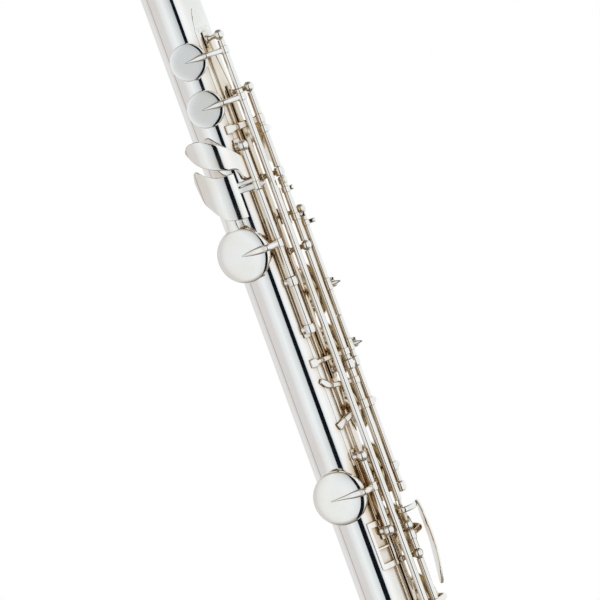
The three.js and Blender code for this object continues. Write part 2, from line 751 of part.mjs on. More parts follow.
// Left-hand keys on the high line, with their pointed bars and the lug for the clutch
const pointed_deg = 36;
const pointed_length = 6.4;
const pointed_lead = 0.5;
const clutch_lead = 32.1;
const clutch_deg = 24;
const clutch_length = 4.6;
const clutch_width = 2.2;
function pointedBar(hole_x) {
  return lug(hole_x - pointed_lead, left_line, pointed_deg, pointed_length, clutch_width);
}
key({
  name: 'b_flat_key', line: left_line, x0: left_first_post_x + post_reach, x1: b_flat_end_x - pair_gap,
  cups: [[b_flat_hole_x, 0, large_hole_radius]], turn: open_deg, radius: slim_hinge_radius,
  extras: [
    pointedBar(b_flat_hole_x),
    lug(b_flat_hole_x - clutch_lead, left_line, clutch_deg, clutch_length, clutch_width),
  ],
});
key({
  name: 'a_key', line: left_line, x0: b_flat_end_x + pair_gap, x1: bridge_mid_post_x - post_reach,
  cups: [[a_hole_x, 0, large_hole_radius]], turn: open_deg, radius: slim_hinge_radius,
  extras: [pointedBar(a_hole_x)],
});
key({
  name: 'g_key', line: left_line, x0: bridge_mid_post_x + post_reach, x1: left_last_post_x - post_reach,
  cups: [[upper_g_hole_x, 0, large_hole_radius], [lower_g_hole_x, 0, large_hole_radius]],
  turn: open_deg, radius: slim_hinge_radius,
});

// The small first-finger key, with a round touch beside its cup
const c_touch_step = 11;
const c_touch_x = c_hole_x + c_touch_step;
const c_touch_radius = 5.5;
const c_touch_lift = 1.2;
const c_lug_lead = 5.2;
const c_lug_deg = 195;
const c_lug_length = 12.3;
const c_lug_width = 3.6;
const c_block_width = 4.4;
const c_lug_x = c_hole_x - c_lug_lead;
const c_overlay = [
  [0, 80, c_lug_width], [0, 92, c_lug_width], [0, 97, c_block_width], [0, 106, c_block_width],
];
const c_touch = stacked([
  [0, cup_shoulder],
  [c_touch_radius - cup_round, cup_shoulder],
  [c_touch_radius, cup_top],
  [c_touch_radius - cup_round, cup_top + c_touch_lift],
  [0, cup_top + c_touch_lift * 0.7],
], around(c_touch_x, 0), small_cup_sides);
key({
  name: 'c_key', line: main_line, x0: c_post_x + post_reach, x1: barrel_post_x - post_reach,
  cups: [[c_hole_x, 0, c_hole_radius]],
  extras: [
    c_touch,
    bar([
      { x: c_hole_x, y: 0, z: cup_top, width: arm_width, thickness: arm_thickness },
      { x: c_hole_x, y: -arm_width, z: cup_top, width: arm_width, thickness: arm_thickness },
    ]),
    rod(c_hole_x, c_touch_x, arm_thickness / 2, { y: 0, z: cup_top }),
    lug(c_lug_x, main_line, c_lug_deg, c_lug_length, c_lug_width),
    overlay(c_lug_x, c_overlay, main_line, -open_deg),
  ],
  turn: open_deg,
});

// Right-hand keys on the main line
const f_sharp_root_step = 1.6;
const f_sharp_root_x = f_sharp_hole_x + f_sharp_root_step;
const right_keys = [
  ['f_sharp_key', right_first_post_x, right_second_post_x, f_sharp_hole_x, f_sharp_root_x],
  ['f_key', right_second_post_x, f_end_x - pair_gap + post_reach, f_hole_x, f_hole_x],
  ['e_key', f_end_x + pair_gap - post_reach, right_third_post_x, e_hole_x, e_hole_x],
  ['d_key', right_third_post_x, right_last_post_x, d_hole_x, d_hole_x],
];
right_keys.forEach(([name, from_x, to_x, hole_x, root_x]) => key({
  name, line: main_line, x0: from_x + post_reach, x1: to_x - post_reach,
  cups: [[hole_x, 0, large_hole_radius]], turn: open_deg, root_x,
}));

// The long bridge on the main line, whose thin rod runs through the middle post, and its two long lugs
const long_lug_deg = 203;
const long_lug_length = 12;
const long_lug_width = 2.6;
const long_block_width = 4.2;
const long_lug_lead = 6.3;
const hook_lug_step = 8.2;
const hook_lug_run = -1.5;
const hook_run = 5.5;
const slant_lug_lead = 0.5;
const slant_lug_width = 3.4;
const slant_lug_run = 4.5;
const slant_block_run = 6.3;
const slant_block_width = 3.8;
const long_lug_x = bridge_mid_post_x - long_lug_lead;
const hook_lug_x = bridge_mid_post_x + hook_lug_step;
const slant_lug_x = upper_g_hole_x - slant_lug_lead;
const long_overlay = [
  [0, 80, long_lug_width], [0, 93, long_lug_width], [0, 97, long_block_width], [0, 107, long_block_width],
];
const hook_overlay = [
  [hook_lug_run, 80, long_lug_width], [-hook_run / 2, 90, slant_lug_width], [-hook_run, 101, long_lug_width],
];
const slant_overlay = [[slant_lug_run, 80, slant_lug_width], [slant_block_run, 98, slant_block_width]];
const bridge_group = hinged(main_line, 0);
const main_centre = lineCentre(main_line);
add('f_bridge', join([
  turned([
    [bridge_post_x + fit_gap / 2, 0],
    [bridge_post_x + fit_gap / 2, steel_radius],
    [bridge_post_x + post_reach, steel_radius],
    [bridge_post_x + post_reach, hinge_radius],
    [bridge_mid_post_x - post_reach, hinge_radius],
    [bridge_mid_post_x - post_reach, steel_radius],
    [bridge_mid_post_x + post_reach, steel_radius],
    [bridge_mid_post_x + post_reach, hinge_radius],
    [bridge_end_x, hinge_radius],
    [bridge_end_x, steel_radius],
    [right_first_post_x - fit_gap / 2, steel_radius],
    [right_first_post_x - fit_gap / 2, 0],
  ], main_centre, rod_sides),
  lug(long_lug_x, main_line, long_lug_deg, long_lug_length, long_lug_width),
  overlay(long_lug_x, long_overlay, main_line, 0),
  lug(hook_lug_x, main_line, long_lug_deg, long_lug_length, long_lug_width, hook_lug_run),
  overlay(hook_lug_x, hook_overlay, main_line, 0),
  lug(slant_lug_x, main_line, long_lug_deg, long_lug_length, slant_lug_width, slant_lug_run),
  overlay(slant_lug_x, slant_overlay, main_line, 0),
]), 'silver', bridge_group);

// The short bridge that the upper thumb lever pushes
const thumb_bridge_x0 = barrel_post_x + post_reach;
const thumb_bridge_x1 = bridge_post_x - post_reach;
const pushed_lug_step = 2;
const pushed_lug_deg = 115;
const pushed_lug_length = 5.5;
const pushing_lug_lead = 12;
const pushing_lug_deg = 40;
const pushing_lug_length = 4.5;
const thumb_bridge_bore = rod(
  thumb_bridge_x0 - cut_overrun, thumb_bridge_x1 + cut_overrun, hinge_bore_radius, main_centre);
add('thumb_bridge', join([
  rod(thumb_bridge_x0, thumb_bridge_x1, hinge_radius, main_centre),
  lug(thumb_bridge_x0 + pushed_lug_step, main_line, pushed_lug_deg, pushed_lug_length),
  lug(thumb_bridge_x1 - pushing_lug_lead, main_line, pushing_lug_deg, pushing_lug_length),
]).subtract(thumb_bridge_bore), 'silver', hinged(main_line, 0));

// Thumb keys: the leaf of the upper lever and the plate of the lower key curl under the tube
const paddle_radius = 17;
const paddle_drop = 5.2;
const paddle_thickness = 1.6;
const paddle_step_deg = 8;
const leaf_root_step = 8.8;
const leaf_root_width = 13.2;
const leaf_root_x = thumb_first_post_x + leaf_root_step;
const leaf_run = 22;
const thumb_bridge_lead = 2.2;
const thumb_key_start_x = thumb_first_post_x + leaf_run;
const thumb_bridge_x = thumb_key_start_x - thumb_bridge_lead;
const thumb_centre = lineCentre(thumb_line);

// A curled plate between two edges, each a list of [angle, x] stops from the root to the tip. It is
// drawn where it stands at rest, then turned to where its key is shut.
function paddle(near, far, from_deg, to_deg, shut_turn) {
  const edgeAt = (edge, deg) => {
    const k = edge.findIndex(([stop_deg]) => stop_deg >= deg);
    if (k <= 0) return edge[k < 0 ? edge.length - 1 : 0][1];
    const [deg0, x0] = edge[k - 1];
    const [deg1, x1] = edge[k];
    return x0 + (x1 - x0) * (deg - deg0) / (deg1 - deg0);
  };
  const steps = Math.round((to_deg - from_deg) / paddle_step_deg);
  const sections = [];
  for (let k = 0; k <= steps; k += 1) {
    const deg = from_deg + (to_deg - from_deg) * k / steps;
    const [low, high] = [edgeAt(near, deg), edgeAt(far, deg)];
    const [inner, outer] = [paddle_radius - paddle_thickness, paddle_radius].map((radius) => {
      const point = polar(radius, deg);
      return turnedAbout({ y: point.y, z: point.z - paddle_drop }, thumb_centre, shut_turn);
    });
    sections.push([[low, inner], [high, inner], [high, outer], [low, outer]].map(([x, point]) => (
      new THREE.Vector3(x, point.y, point.z))));
  }
  return loft(sections);
}

const leaf_root_deg = 91;
const leaf_tip_deg = 177.4;
const leaf_width = 24.6;
const leaf_lead = 9;
const leaf_edge_x = thumb_first_post_x - leaf_lead;
const leaf_near_shares = [
  [91, 0.44], [100.8, 0.325], [114.5, 0.2], [126, 0.13], [137.7, 0.05], [148, 0.004], [159.3, 0],
  [168.4, 0.016], [175.9, 0.1], [177.4, 0.13],
];
const leaf_far_shares = [
  [91, 0.96], [94.6, 0.84], [98.8, 0.77], [105.8, 0.74], [112.6, 0.73], [120.3, 0.7], [133.8, 0.645],
  [143.8, 0.59], [154.5, 0.51], [164.4, 0.41], [171.3, 0.3], [175.9, 0.19], [177.4, 0.17],
];
const plate_root_deg = 108;
const plate_tip_deg = 180.4;
const plate_width = 30.8;
const plate_step = 4.4;
const plate_edge_x = thumb_first_post_x + plate_step;
const plate_near_shares = [
  [108, 0.21], [132, 0.2], [144, 0.155], [157, 0.08], [166, 0.013], [172, 0], [176.5, 0.03], [180.4, 0.16],
];
const plate_far_shares = [
  [108, 0.955], [118, 1], [129, 1], [142, 0.92], [155, 0.76], [164.6, 0.62], [173.3, 0.525], [176.5, 0.415],
  [180.4, 0.19],
];
const placed = (shares, edge_x, width) => shares.map(([deg, share]) => [deg, edge_x + width * share]);
const leaf = paddle(
  placed(leaf_near_shares, leaf_edge_x, leaf_width), placed(leaf_far_shares, leaf_edge_x, leaf_width),
  leaf_root_deg, leaf_tip_deg, 0);
const plate = paddle(
  placed(plate_near_shares, plate_edge_x, plate_width), placed(plate_far_shares, plate_edge_x, plate_width),
  plate_root_deg, plate_tip_deg, open_deg);
const leaf_bar_deg = 97;
const lever_lug_deg = 218.6;
const lever_lug_length = 9.5;
const lever_lug_lead = 5.1;
const lever_lug_width = 3.2;
const lift_lug_deg = 72;
const lift_lug_length = 4.6;
const on_leaf = polar(paddle_radius - paddle_thickness / 2, leaf_bar_deg);
const leaf_edge = { y: on_leaf.y, z: on_leaf.z - paddle_drop };
const leaf_x0 = thumb_first_post_x + post_reach;
const leaf_x1 = thumb_key_start_x - pair_gap;
const leaf_bore = rod(leaf_x0 - cut_overrun, leaf_x1 + cut_overrun, hinge_bore_radius, thumb_centre);
const thumb_group = hinged(thumb_line, 0);
add('thumb_b_flat_lever', join([
  rod(leaf_x0, leaf_x1, slim_hinge_radius, thumb_centre),
  leaf,
  bar([
    { x: leaf_root_x, ...thumb_centre, width: leaf_root_width * 0.9, thickness: arm_thickness },
    { x: leaf_root_x, ...leaf_edge, width: leaf_root_width, thickness: lug_thickness },
  ]),
  lug(thumb_key_start_x - lever_lug_lead, thumb_line, lever_lug_deg, lever_lug_length, clutch_width),
  lug(thumb_bridge_x, thumb_line, lever_lug_deg, lever_lug_length, lever_lug_width),
  lug(thumb_bridge_x, thumb_line, lift_lug_deg, lift_lug_length, lever_lug_width),
]).subtract(leaf_bore), 'silver', thumb_group);

const neck_lead = 19.2;
const neck_length = 10;
const neck_drop = 0.4;
const neck_rise = 0.3;
const neck_half_width = 4;
const neck_thickness = 1.2;
const neck_start_x = thumb_hole_x - neck_lead;
const neck_end_x = neck_start_x + neck_length;
const neck_foot = cup_roof - neck_drop;
const neck = loft([[neck_start_x, neck_foot], [neck_end_x, neck_foot + neck_rise]].map(([x, z]) => (
  [[-1, 0], [1, 0], [1, 1], [-1, 1]].map(([across, up]) => (
    new THREE.Vector3(x, across * neck_half_width, z + up * neck_thickness)
      .applyMatrix4(new THREE.Matrix4().makeRotationX(thumb_cup_deg * radian)))))));
key({
  name: 'thumb_b_key', line: thumb_line,
  x0: thumb_key_start_x + pair_gap, x1: thumb_second_post_x - post_reach,
  cups: [[thumb_hole_x, thumb_cup_deg, large_hole_radius]],
  extras: [plate, neck],
  turn: -open_deg, radius: slim_hinge_radius,
});

// Trill keys: the high one turns on a thin rod inside the long tube of the low one
const trill_centre = lineCentre(trill_line);
const inner_rod_radius = 0.85;
const outer_bore_radius = inner_rod_radius + hinge_play;
const trill_join_lead = 3.9;
const high_touch_lead = 6.2;
const touch_join_lead = 31;
const trill_join_x = low_trill_x - trill_join_lead;
const high_touch_x = trill_end_post_x - high_touch_lead;
const trill_touch_join_x = trill_end_post_x - touch_join_lead;
const low_touch_x = f_end_x;
const trill_lever_height = 14;
const trill_touch_width = 8;
const trill_touch_thickness = 1.8;
const trill_touch_shares = [
  [0.94, 62, 0.3],
  [1.04, 50.5, 0.3],
  [1.02, 37, 0.3],
  [0.93, 27, 0.42],
  [0.88, 22.5, 0.84],
  [0.8, 12, 1],
  [0.76, 7.5, 0.7],
];
function trillTouch(x) {
  const root = { x, ...trill_centre, width: trill_touch_width / 3, thickness: trill_touch_thickness };
  return bar([root, ...trill_touch_shares.map(([share, deg, width_share]) => ({
    x,
    ...polar(tube_radius + trill_lever_height * share, deg),
    width: trill_touch_width * width_share,
    thickness: trill_touch_thickness,
  }))]);
}
const trill_group = hinged(trill_line, 0);
add('high_trill_key', join([
  turned([
    [trill_post_x - half_post, 0],
    [trill_post_x - half_post, steel_radius],
    [trill_post_x + post_reach, steel_radius],
    [trill_post_x + post_reach, hinge_radius],
    [trill_join_x - pair_gap, hinge_radius],
    [trill_join_x - pair_gap, inner_rod_radius],
    [trill_touch_join_x + pair_gap, inner_rod_radius],
    [trill_touch_join_x + pair_gap, hinge_radius],
    [trill_end_post_x - post_reach, hinge_radius],
    [trill_end_post_x - post_reach, steel_radius],
    [trill_end_post_x + half_post, steel_radius],
    [trill_end_post_x + half_post, 0],
  ], trill_centre, rod_sides),
  cup(high_trill_x, trill_cup_deg, trill_hole_radius),
  cupArm(high_trill_x, trill_cup_deg, trill_hole_radius, trill_line),
  trillTouch(high_touch_x),
]), 'silver', trill_group);
add('high_trill_pad', pad(high_trill_x, trill_cup_deg, trill_hole_radius), 'pad', trill_group);
const trill_bore = rod(
  trill_join_x - cut_overrun, trill_touch_join_x + cut_overrun, outer_bore_radius, trill_centre);
add('low_trill_key', join([
  rod(trill_join_x + pair_gap, trill_touch_join_x - pair_gap, hinge_radius, trill_centre),
  cup(low_trill_x, trill_cup_deg, trill_hole_radius),
  cupArm(low_trill_x, trill_cup_deg, trill_hole_radius, trill_line),
  trillTouch(low_touch_x),
]).subtract(trill_bore), 'silver', trill_group);
add('low_trill_pad', pad(low_trill_x, trill_cup_deg, trill_hole_radius), 'pad', trill_group);

// G sharp key: its lever climbs between the trill tube and the main rod to a long arched touch
const lever_step = 16.1;
const lever_x = g_sharp_hole_x + lever_step;
const lever_width = 2.8;
const lever_thickness = 1.6;
const lever_height = 17.6;
const lever_size = { x: lever_x, width: lever_width, thickness: lever_thickness };
const lever_shares = [[0.228, 69.9], [0.321, 64.2], [0.499, 64.1], [0.722, 63.5], [0.86, 55], [0.85, 45]];
const lever_root = { ...lineCentre(g_sharp_line), ...lever_size };
const g_sharp_lever = bar([lever_root, ...lever_shares.map(([share, deg]) => (
  { ...polar(tube_radius + lever_height * share, deg), ...lever_size }))]);
const touch_length = 43;
const touch_reach = 27.2;
const touch_depth = 13;
const touch_thickness = 1.8;
const touch_deg = 21;
const touch_shares = [
  [0, -0.95, -0.75, 0.955],
  [0.14, -1, -0.4, 0.985],
  [0.46, -1, -0.25, 1],
  [0.74, -0.93, -0.16, 0.97],
  [0.93, -0.78, -0.25, 0.93],
  [1, -0.62, -0.4, 0.91],
];
const g_sharp_touch = loft(touch_shares.map(([along, outside, inside, out]) => {
  const corner = (depth_share, lift) => {
    const up = polar(touch_reach * out + lift, touch_deg);
    const across = polar(touch_depth * depth_share, touch_deg - 90);
    const x = lever_x - lever_width / 2 + touch_length * along;
    return new THREE.Vector3(x, up.y + across.y, up.z + across.z);
  };
  return [[outside, 0], [inside, 0], [inside, touch_thickness], [outside, touch_thickness]].map(
    ([depth_share, lift]) => corner(depth_share, lift));
}));
key({
  name: 'g_sharp_key', line: g_sharp_line,
  x0: g_sharp_first_post_x + post_reach, x1: g_sharp_last_post_x - post_reach,
  cups: [[g_sharp_hole_x, g_sharp_cup_deg, large_hole_radius]],
  extras: [g_sharp_lever, g_sharp_touch], turn: 0, radius: slim_hinge_radius,
});

// Foot joint
const near_cup_deg = 62;
const foot_socket_outer = socket_inner + socket_wall;
const foot_ring_length = 3;
const foot_lap = 1.8;
const foot_ring_height = 0.9;
const foot_ring_radius = tube_radius + foot_ring_height;
const foot_outer = turned([
  [foot_start_x, 0],
  [foot_start_x, foot_socket_outer + ring_height],
  [foot_start_x + foot_ring_length, foot_socket_outer + ring_height],
  [foot_start_x + foot_ring_length, foot_socket_outer],
  [body_end_x + foot_lap, foot_socket_outer],
  [body_end_x + foot_lap, tube_radius],
  [foot_end_x - foot_ring_length, tube_radius],
  [foot_end_x - foot_ring_length, foot_ring_radius],
  [foot_end_x, foot_ring_radius],
  [foot_end_x, 0],
], axis, tube_sides);
const foot_bore = turned([
  [foot_start_x - cut_overrun, 0],
  [foot_start_x - cut_overrun, socket_inner],
  [body_end_x + fit_gap, socket_inner],
  [body_end_x + fit_gap, bore_radius],
  [foot_end_x + cut_overrun, bore_radius],
  [foot_end_x + cut_overrun, 0],
], axis, tube_sides);
const foot_holes = [
  [d_sharp_hole_x, foot_cup_deg, large_hole_radius],
  [c_sharp_hole_x, near_cup_deg, large_hole_radius],
  [low_c_hole_x, near_cup_deg, large_hole_radius],
];
add('foot_tube', holedTube(foot_outer, foot_bore, foot_holes), 'silver');
add('foot_rib', ribbed(foot_first_post_x - rib_end / 2, foot_last_post_x + rib_end, foot_line.deg, [
  { line: foot_line, places: [foot_first_post_x, foot_second_post_x, foot_last_post_x] },
], foot_holes), 'silver');
steel('foot_steel', foot_first_post_x - half_post, foot_second_post_x - fit_gap / 2, foot_line);

// Foot touches: the D sharp plate, and a roller on each of the two low keys
const foot_touch_height = 10.5;
const d_sharp_touch_width = 14;
const d_sharp_touch_thickness = 1.5;
const foot_centre = lineCentre(foot_line);
const d_sharp_touch_shares = [[20, 0.43, 1.3], [26, 1, 1], [48, 1, 1], [56, 0.5, 0.8]];
const d_sharp_root = { x: d_sharp_hole_x, ...foot_centre, width: arm_width, thickness: arm_thickness };
const d_sharp_touch = bar([d_sharp_root, ...d_sharp_touch_shares.map(([deg, width_share, thick_share]) => ({
  x: d_sharp_hole_x,
  ...polar(tube_radius + foot_touch_height, deg),
  width: d_sharp_touch_width * width_share,
  thickness: d_sharp_touch_thickness * thick_share,
}))]);
key({
  name: 'd_sharp_key', line: foot_line,
  x0: foot_first_post_x + post_reach, x1: foot_second_post_x - post_reach,
  cups: [[d_sharp_hole_x, foot_cup_deg, large_hole_radius]], extras: [d_sharp_touch], turn: 0,
});
const c_sharp_tail = 5.3;
const c_sharp_tube_end_x = c_sharp_hole_x + c_sharp_tail;
const roller_radius = 2.1;
const pin_radius = 0.6;
const roller_end = 1.6;
const roller_drop = 2.2;
const fork_width = 2.4;
const fork_radius = 0.9;
const fork_step = 2;

// A fork on the end of an arm, with the pin that carries a roller.
function rollerFork(arm_x, deg) {
  const centre = polar(tube_radius + foot_touch_height, deg);
  const below = polar(tube_radius + foot_touch_height - roller_drop - roller_end, deg);
  const x0 = roller_start_x - fit_gap - roller_end;
  const x1 = roller_start_x + roller_length + fit_gap + roller_end;
  const cheek = (x) => stem(
    new THREE.Vector3(x, below.y, below.z), new THREE.Vector3(x, centre.y, centre.z), fork_radius);
  return join([
    bar([
      { x: arm_x, ...foot_centre, width: fork_width, thickness: arm_thickness },
      { x: arm_x, ...below, width: fork_width, thickness: arm_thickness * 0.8 },
    ]),
    rod(Math.min(arm_x, x0), x1, fork_radius, below),
    cheek(x0 + roller_end / 2),
    cheek(x1 - roller_end / 2),
    rod(x0, x1, pin_radius, centre),
  ]);
}
function roller(name, deg, group) {
  const centre = polar(tube_radius + foot_touch_height, deg);
  const [x0, x1] = [roller_start_x, roller_start_x + roller_length];
  add(name, rod(x0, x1, roller_radius, centre)
    .subtract(rod(x0 - cut_overrun, x1 + cut_overrun, pin_radius + hinge_play, centre)), 'silver', group);
}
const c_sharp_roller_deg = 27;
const low_c_roller_deg = 41;
const near_turn = -open_deg;
const c_sharp_group = hinged(foot_line, near_turn);
const c_sharp_x0 = c_hub_end_x + pair_gap;
const c_sharp_x1 = c_sharp_tube_end_x - pair_gap;
add('c_sharp_key', join([
  rod(c_sharp_x0, c_sharp_x1, hinge_radius, foot_centre),
  cup(c_sharp_hole_x, near_cup_deg, large_hole_radius),
  cupArm(c_sharp_hole_x, near_cup_deg, large_hole_radius, foot_line),
  rollerFork(c_sharp_x0 + fork_step, c_sharp_roller_deg),
]).subtract(rod(c_sharp_x0 - cut_overrun, c_sharp_x1 + cut_overrun, outer_bore_radius, foot_centre)),
'silver', c_sharp_group);
add('c_sharp_pad', pad(c_sharp_hole_x, near_cup_deg, large_hole_radius), 'pad', c_sharp_group);
roller('c_sharp_roller', c_sharp_roller_deg, c_sharp_group);
const low_c_group = hinged(foot_line, near_turn);
add('low_c_key', join([
  turned([
    [foot_second_post_x + fit_gap / 2, 0],
    [foot_second_post_x + fit_gap / 2, steel_radius],
    [foot_second_post_x + post_reach, steel_radius],
    [foot_second_post_x + post_reach, hinge_radius],
    [c_hub_end_x - pair_gap, hinge_radius],
    [c_hub_end_x - pair_gap, inner_rod_radius],
    [c_sharp_tube_end_x + pair_gap, inner_rod_radius],
    [c_sharp_tube_end_x + pair_gap, hinge_radius],
    [foot_last_post_x - post_reach, hinge_radius],
    [foot_last_post_x - post_reach, steel_radius],
    [foot_last_post_x + half_post, steel_radius],
    [foot_last_post_x + half_post, 0],
  ], foot_centre, rod_sides),
  cup(low_c_hole_x, near_cup_deg, large_hole_radius),
  cupArm(low_c_hole_x, near_cup_deg, large_hole_radius, foot_line),
  rollerFork((foot_second_post_x + post_reach + c_hub_end_x) / 2, low_c_roller_deg),
]), 'silver', low_c_group);
add('low_c_pad', pad(low_c_hole_x, near_cup_deg, large_hole_radius), 'pad', low_c_group);
roller('low_c_roller', low_c_roller_deg, low_c_group);

export default flute;
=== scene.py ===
"""The alto flute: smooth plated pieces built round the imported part, in its own frame."""

import logging
import math
from dataclasses import dataclass
from enum import Enum
from typing import Callable, Iterable, Optional, Sequence, Union

import bmesh
import bpy
from mathutils import Matrix, Quaternion, Vector


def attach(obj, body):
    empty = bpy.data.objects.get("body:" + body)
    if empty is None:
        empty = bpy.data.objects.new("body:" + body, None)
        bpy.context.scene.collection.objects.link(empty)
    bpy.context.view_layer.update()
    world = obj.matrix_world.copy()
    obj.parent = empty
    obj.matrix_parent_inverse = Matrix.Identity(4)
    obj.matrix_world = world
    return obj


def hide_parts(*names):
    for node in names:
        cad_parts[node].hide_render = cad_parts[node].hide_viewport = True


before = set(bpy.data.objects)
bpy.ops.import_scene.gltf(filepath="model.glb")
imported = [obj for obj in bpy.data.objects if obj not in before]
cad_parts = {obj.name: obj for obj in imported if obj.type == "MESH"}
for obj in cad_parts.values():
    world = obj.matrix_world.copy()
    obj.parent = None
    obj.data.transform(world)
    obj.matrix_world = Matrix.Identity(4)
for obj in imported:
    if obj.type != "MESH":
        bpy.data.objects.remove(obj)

log = logging.getLogger("flute")
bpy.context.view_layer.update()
MM = 0.001
FULL_TURN = 2 * math.pi
MERGE = 1e-4
SHARP = math.radians(32)
ROUND_SEGMENTS = 3

Profile = Sequence[tuple[float, float]]
Cup = tuple[float, float, float]


class Sides(Enum):
    """How many sides a turned piece gets round its axis."""

    TUBE = 224
    CUP = 112
    SMALL_CUP = 80
    ROD = 40
    SMALL = 24


@dataclass(frozen=True)
class Tube:
    """Sizes of the tube, in millimetres, and the angles of its rows of cups."""

    bore: float = 13.0
    radius: float = 13.45
    gap: float = 0.3
    rim: float = 15.35
    large_hole: float = 10.6
    trill_hole: float = 6.3
    c_hole: float = 4.4
    chimney_wall: float = 0.55
    thumb_deg: float = 152
    trill_deg: float = 128
    g_sharp_deg: float = 140
    foot_deg: float = -50
    near_deg: float = 62
    open_deg: float = 8


TUBE = Tube()


def polar(radius: float, deg: float, x: float = 0) -> Vector:
    """Finds a point from its radius and its angle round the tube.

    Args:
        radius: Distance from the tube's axis, in millimetres.
        deg: Angle from +Z towards -Y.
        x: Station along the tube.

    Returns:
        The point in millimetres.
    """
    turn = math.radians(deg)
    return Vector((x, -radius * math.sin(turn), radius * math.cos(turn)))


def around(x: float, deg: float) -> Matrix:
    """Gives the frame whose local Z points away from the tube's axis.

    Args:
        x: Station along the tube.
        deg: Angle from +Z towards -Y.

    Returns:
        The 4x4 matrix.
    """
    return Matrix.Translation((x, 0, 0)) @ Matrix.Rotation(math.radians(deg), 4, "X")


def arc(centre: tuple[float, float], radius: float, start: float, end: float, steps: int = 5) -> list:
    """Lists points on an arc of a profile.

    Args:
        centre: The arc's centre.
        radius: Its radius.
        start: First angle in degrees, from the profile's first coordinate.
        end: Last angle.
        steps: How many steps between them.

    Returns:
        The points in order.
    """
    angles = [math.radians(start + (end - start) * k / steps) for k in range(steps + 1)]
    return [(centre[0] + radius * math.cos(a), centre[1] + radius * math.sin(a)) for a in angles]


def smooth_path(points: Sequence[Sequence[float]], steps: int = 6) -> list[list[float]]:
    """Runs a Catmull-Rom curve through rows of numbers.

    Args:
        points: The rows that the curve passes through.
        steps: Samples for each stretch.

    Returns:
        The sampled rows.
    """
    rows = []
    last = len(points) - 1
    for k in range(last):
        p0, p1, p2, p3 = (points[min(max(k + j, 0), last)] for j in (-1, 0, 1, 2))
        for s in range(steps):
            t = s / steps
            rows.append([
                0.5 * (2 * b + (c - a) * t + (2 * a - 5 * b + 4 * c - d) * t * t
                       + (3 * b - a - 3 * c + d) * t ** 3)
                for a, b, c, d in zip(p0, p1, p2, p3)
            ])
    rows.append(list(points[last]))
    return rows


@dataclass(frozen=True)
class RodLine:
    """A line of rods along the tube, from its height over the tube and its angle."""

    height: float
    deg: float

    @property
    def centre(self) -> Vector:
        """The line's place across the tube."""
        return polar(TUBE.radius + self.height, self.deg)

    def at(self, x: float) -> Vector:
        """The line's point at a station."""
        return polar(TUBE.radius + self.height, self.deg, x)


class Lines:
    """The rod lines of the keywork."""

    LEFT = RodLine(11.35, 45.2)
    MAIN = RodLine(9.35, 56)
    TRILL = RodLine(7.55, 72.6)
    G_SHARP = RodLine(6.05, 86)
    THUMB = RodLine(6.05, 95)
    FOOT = RodLine(8.05, 6)


AXIS = Vector((0, 0, 0))


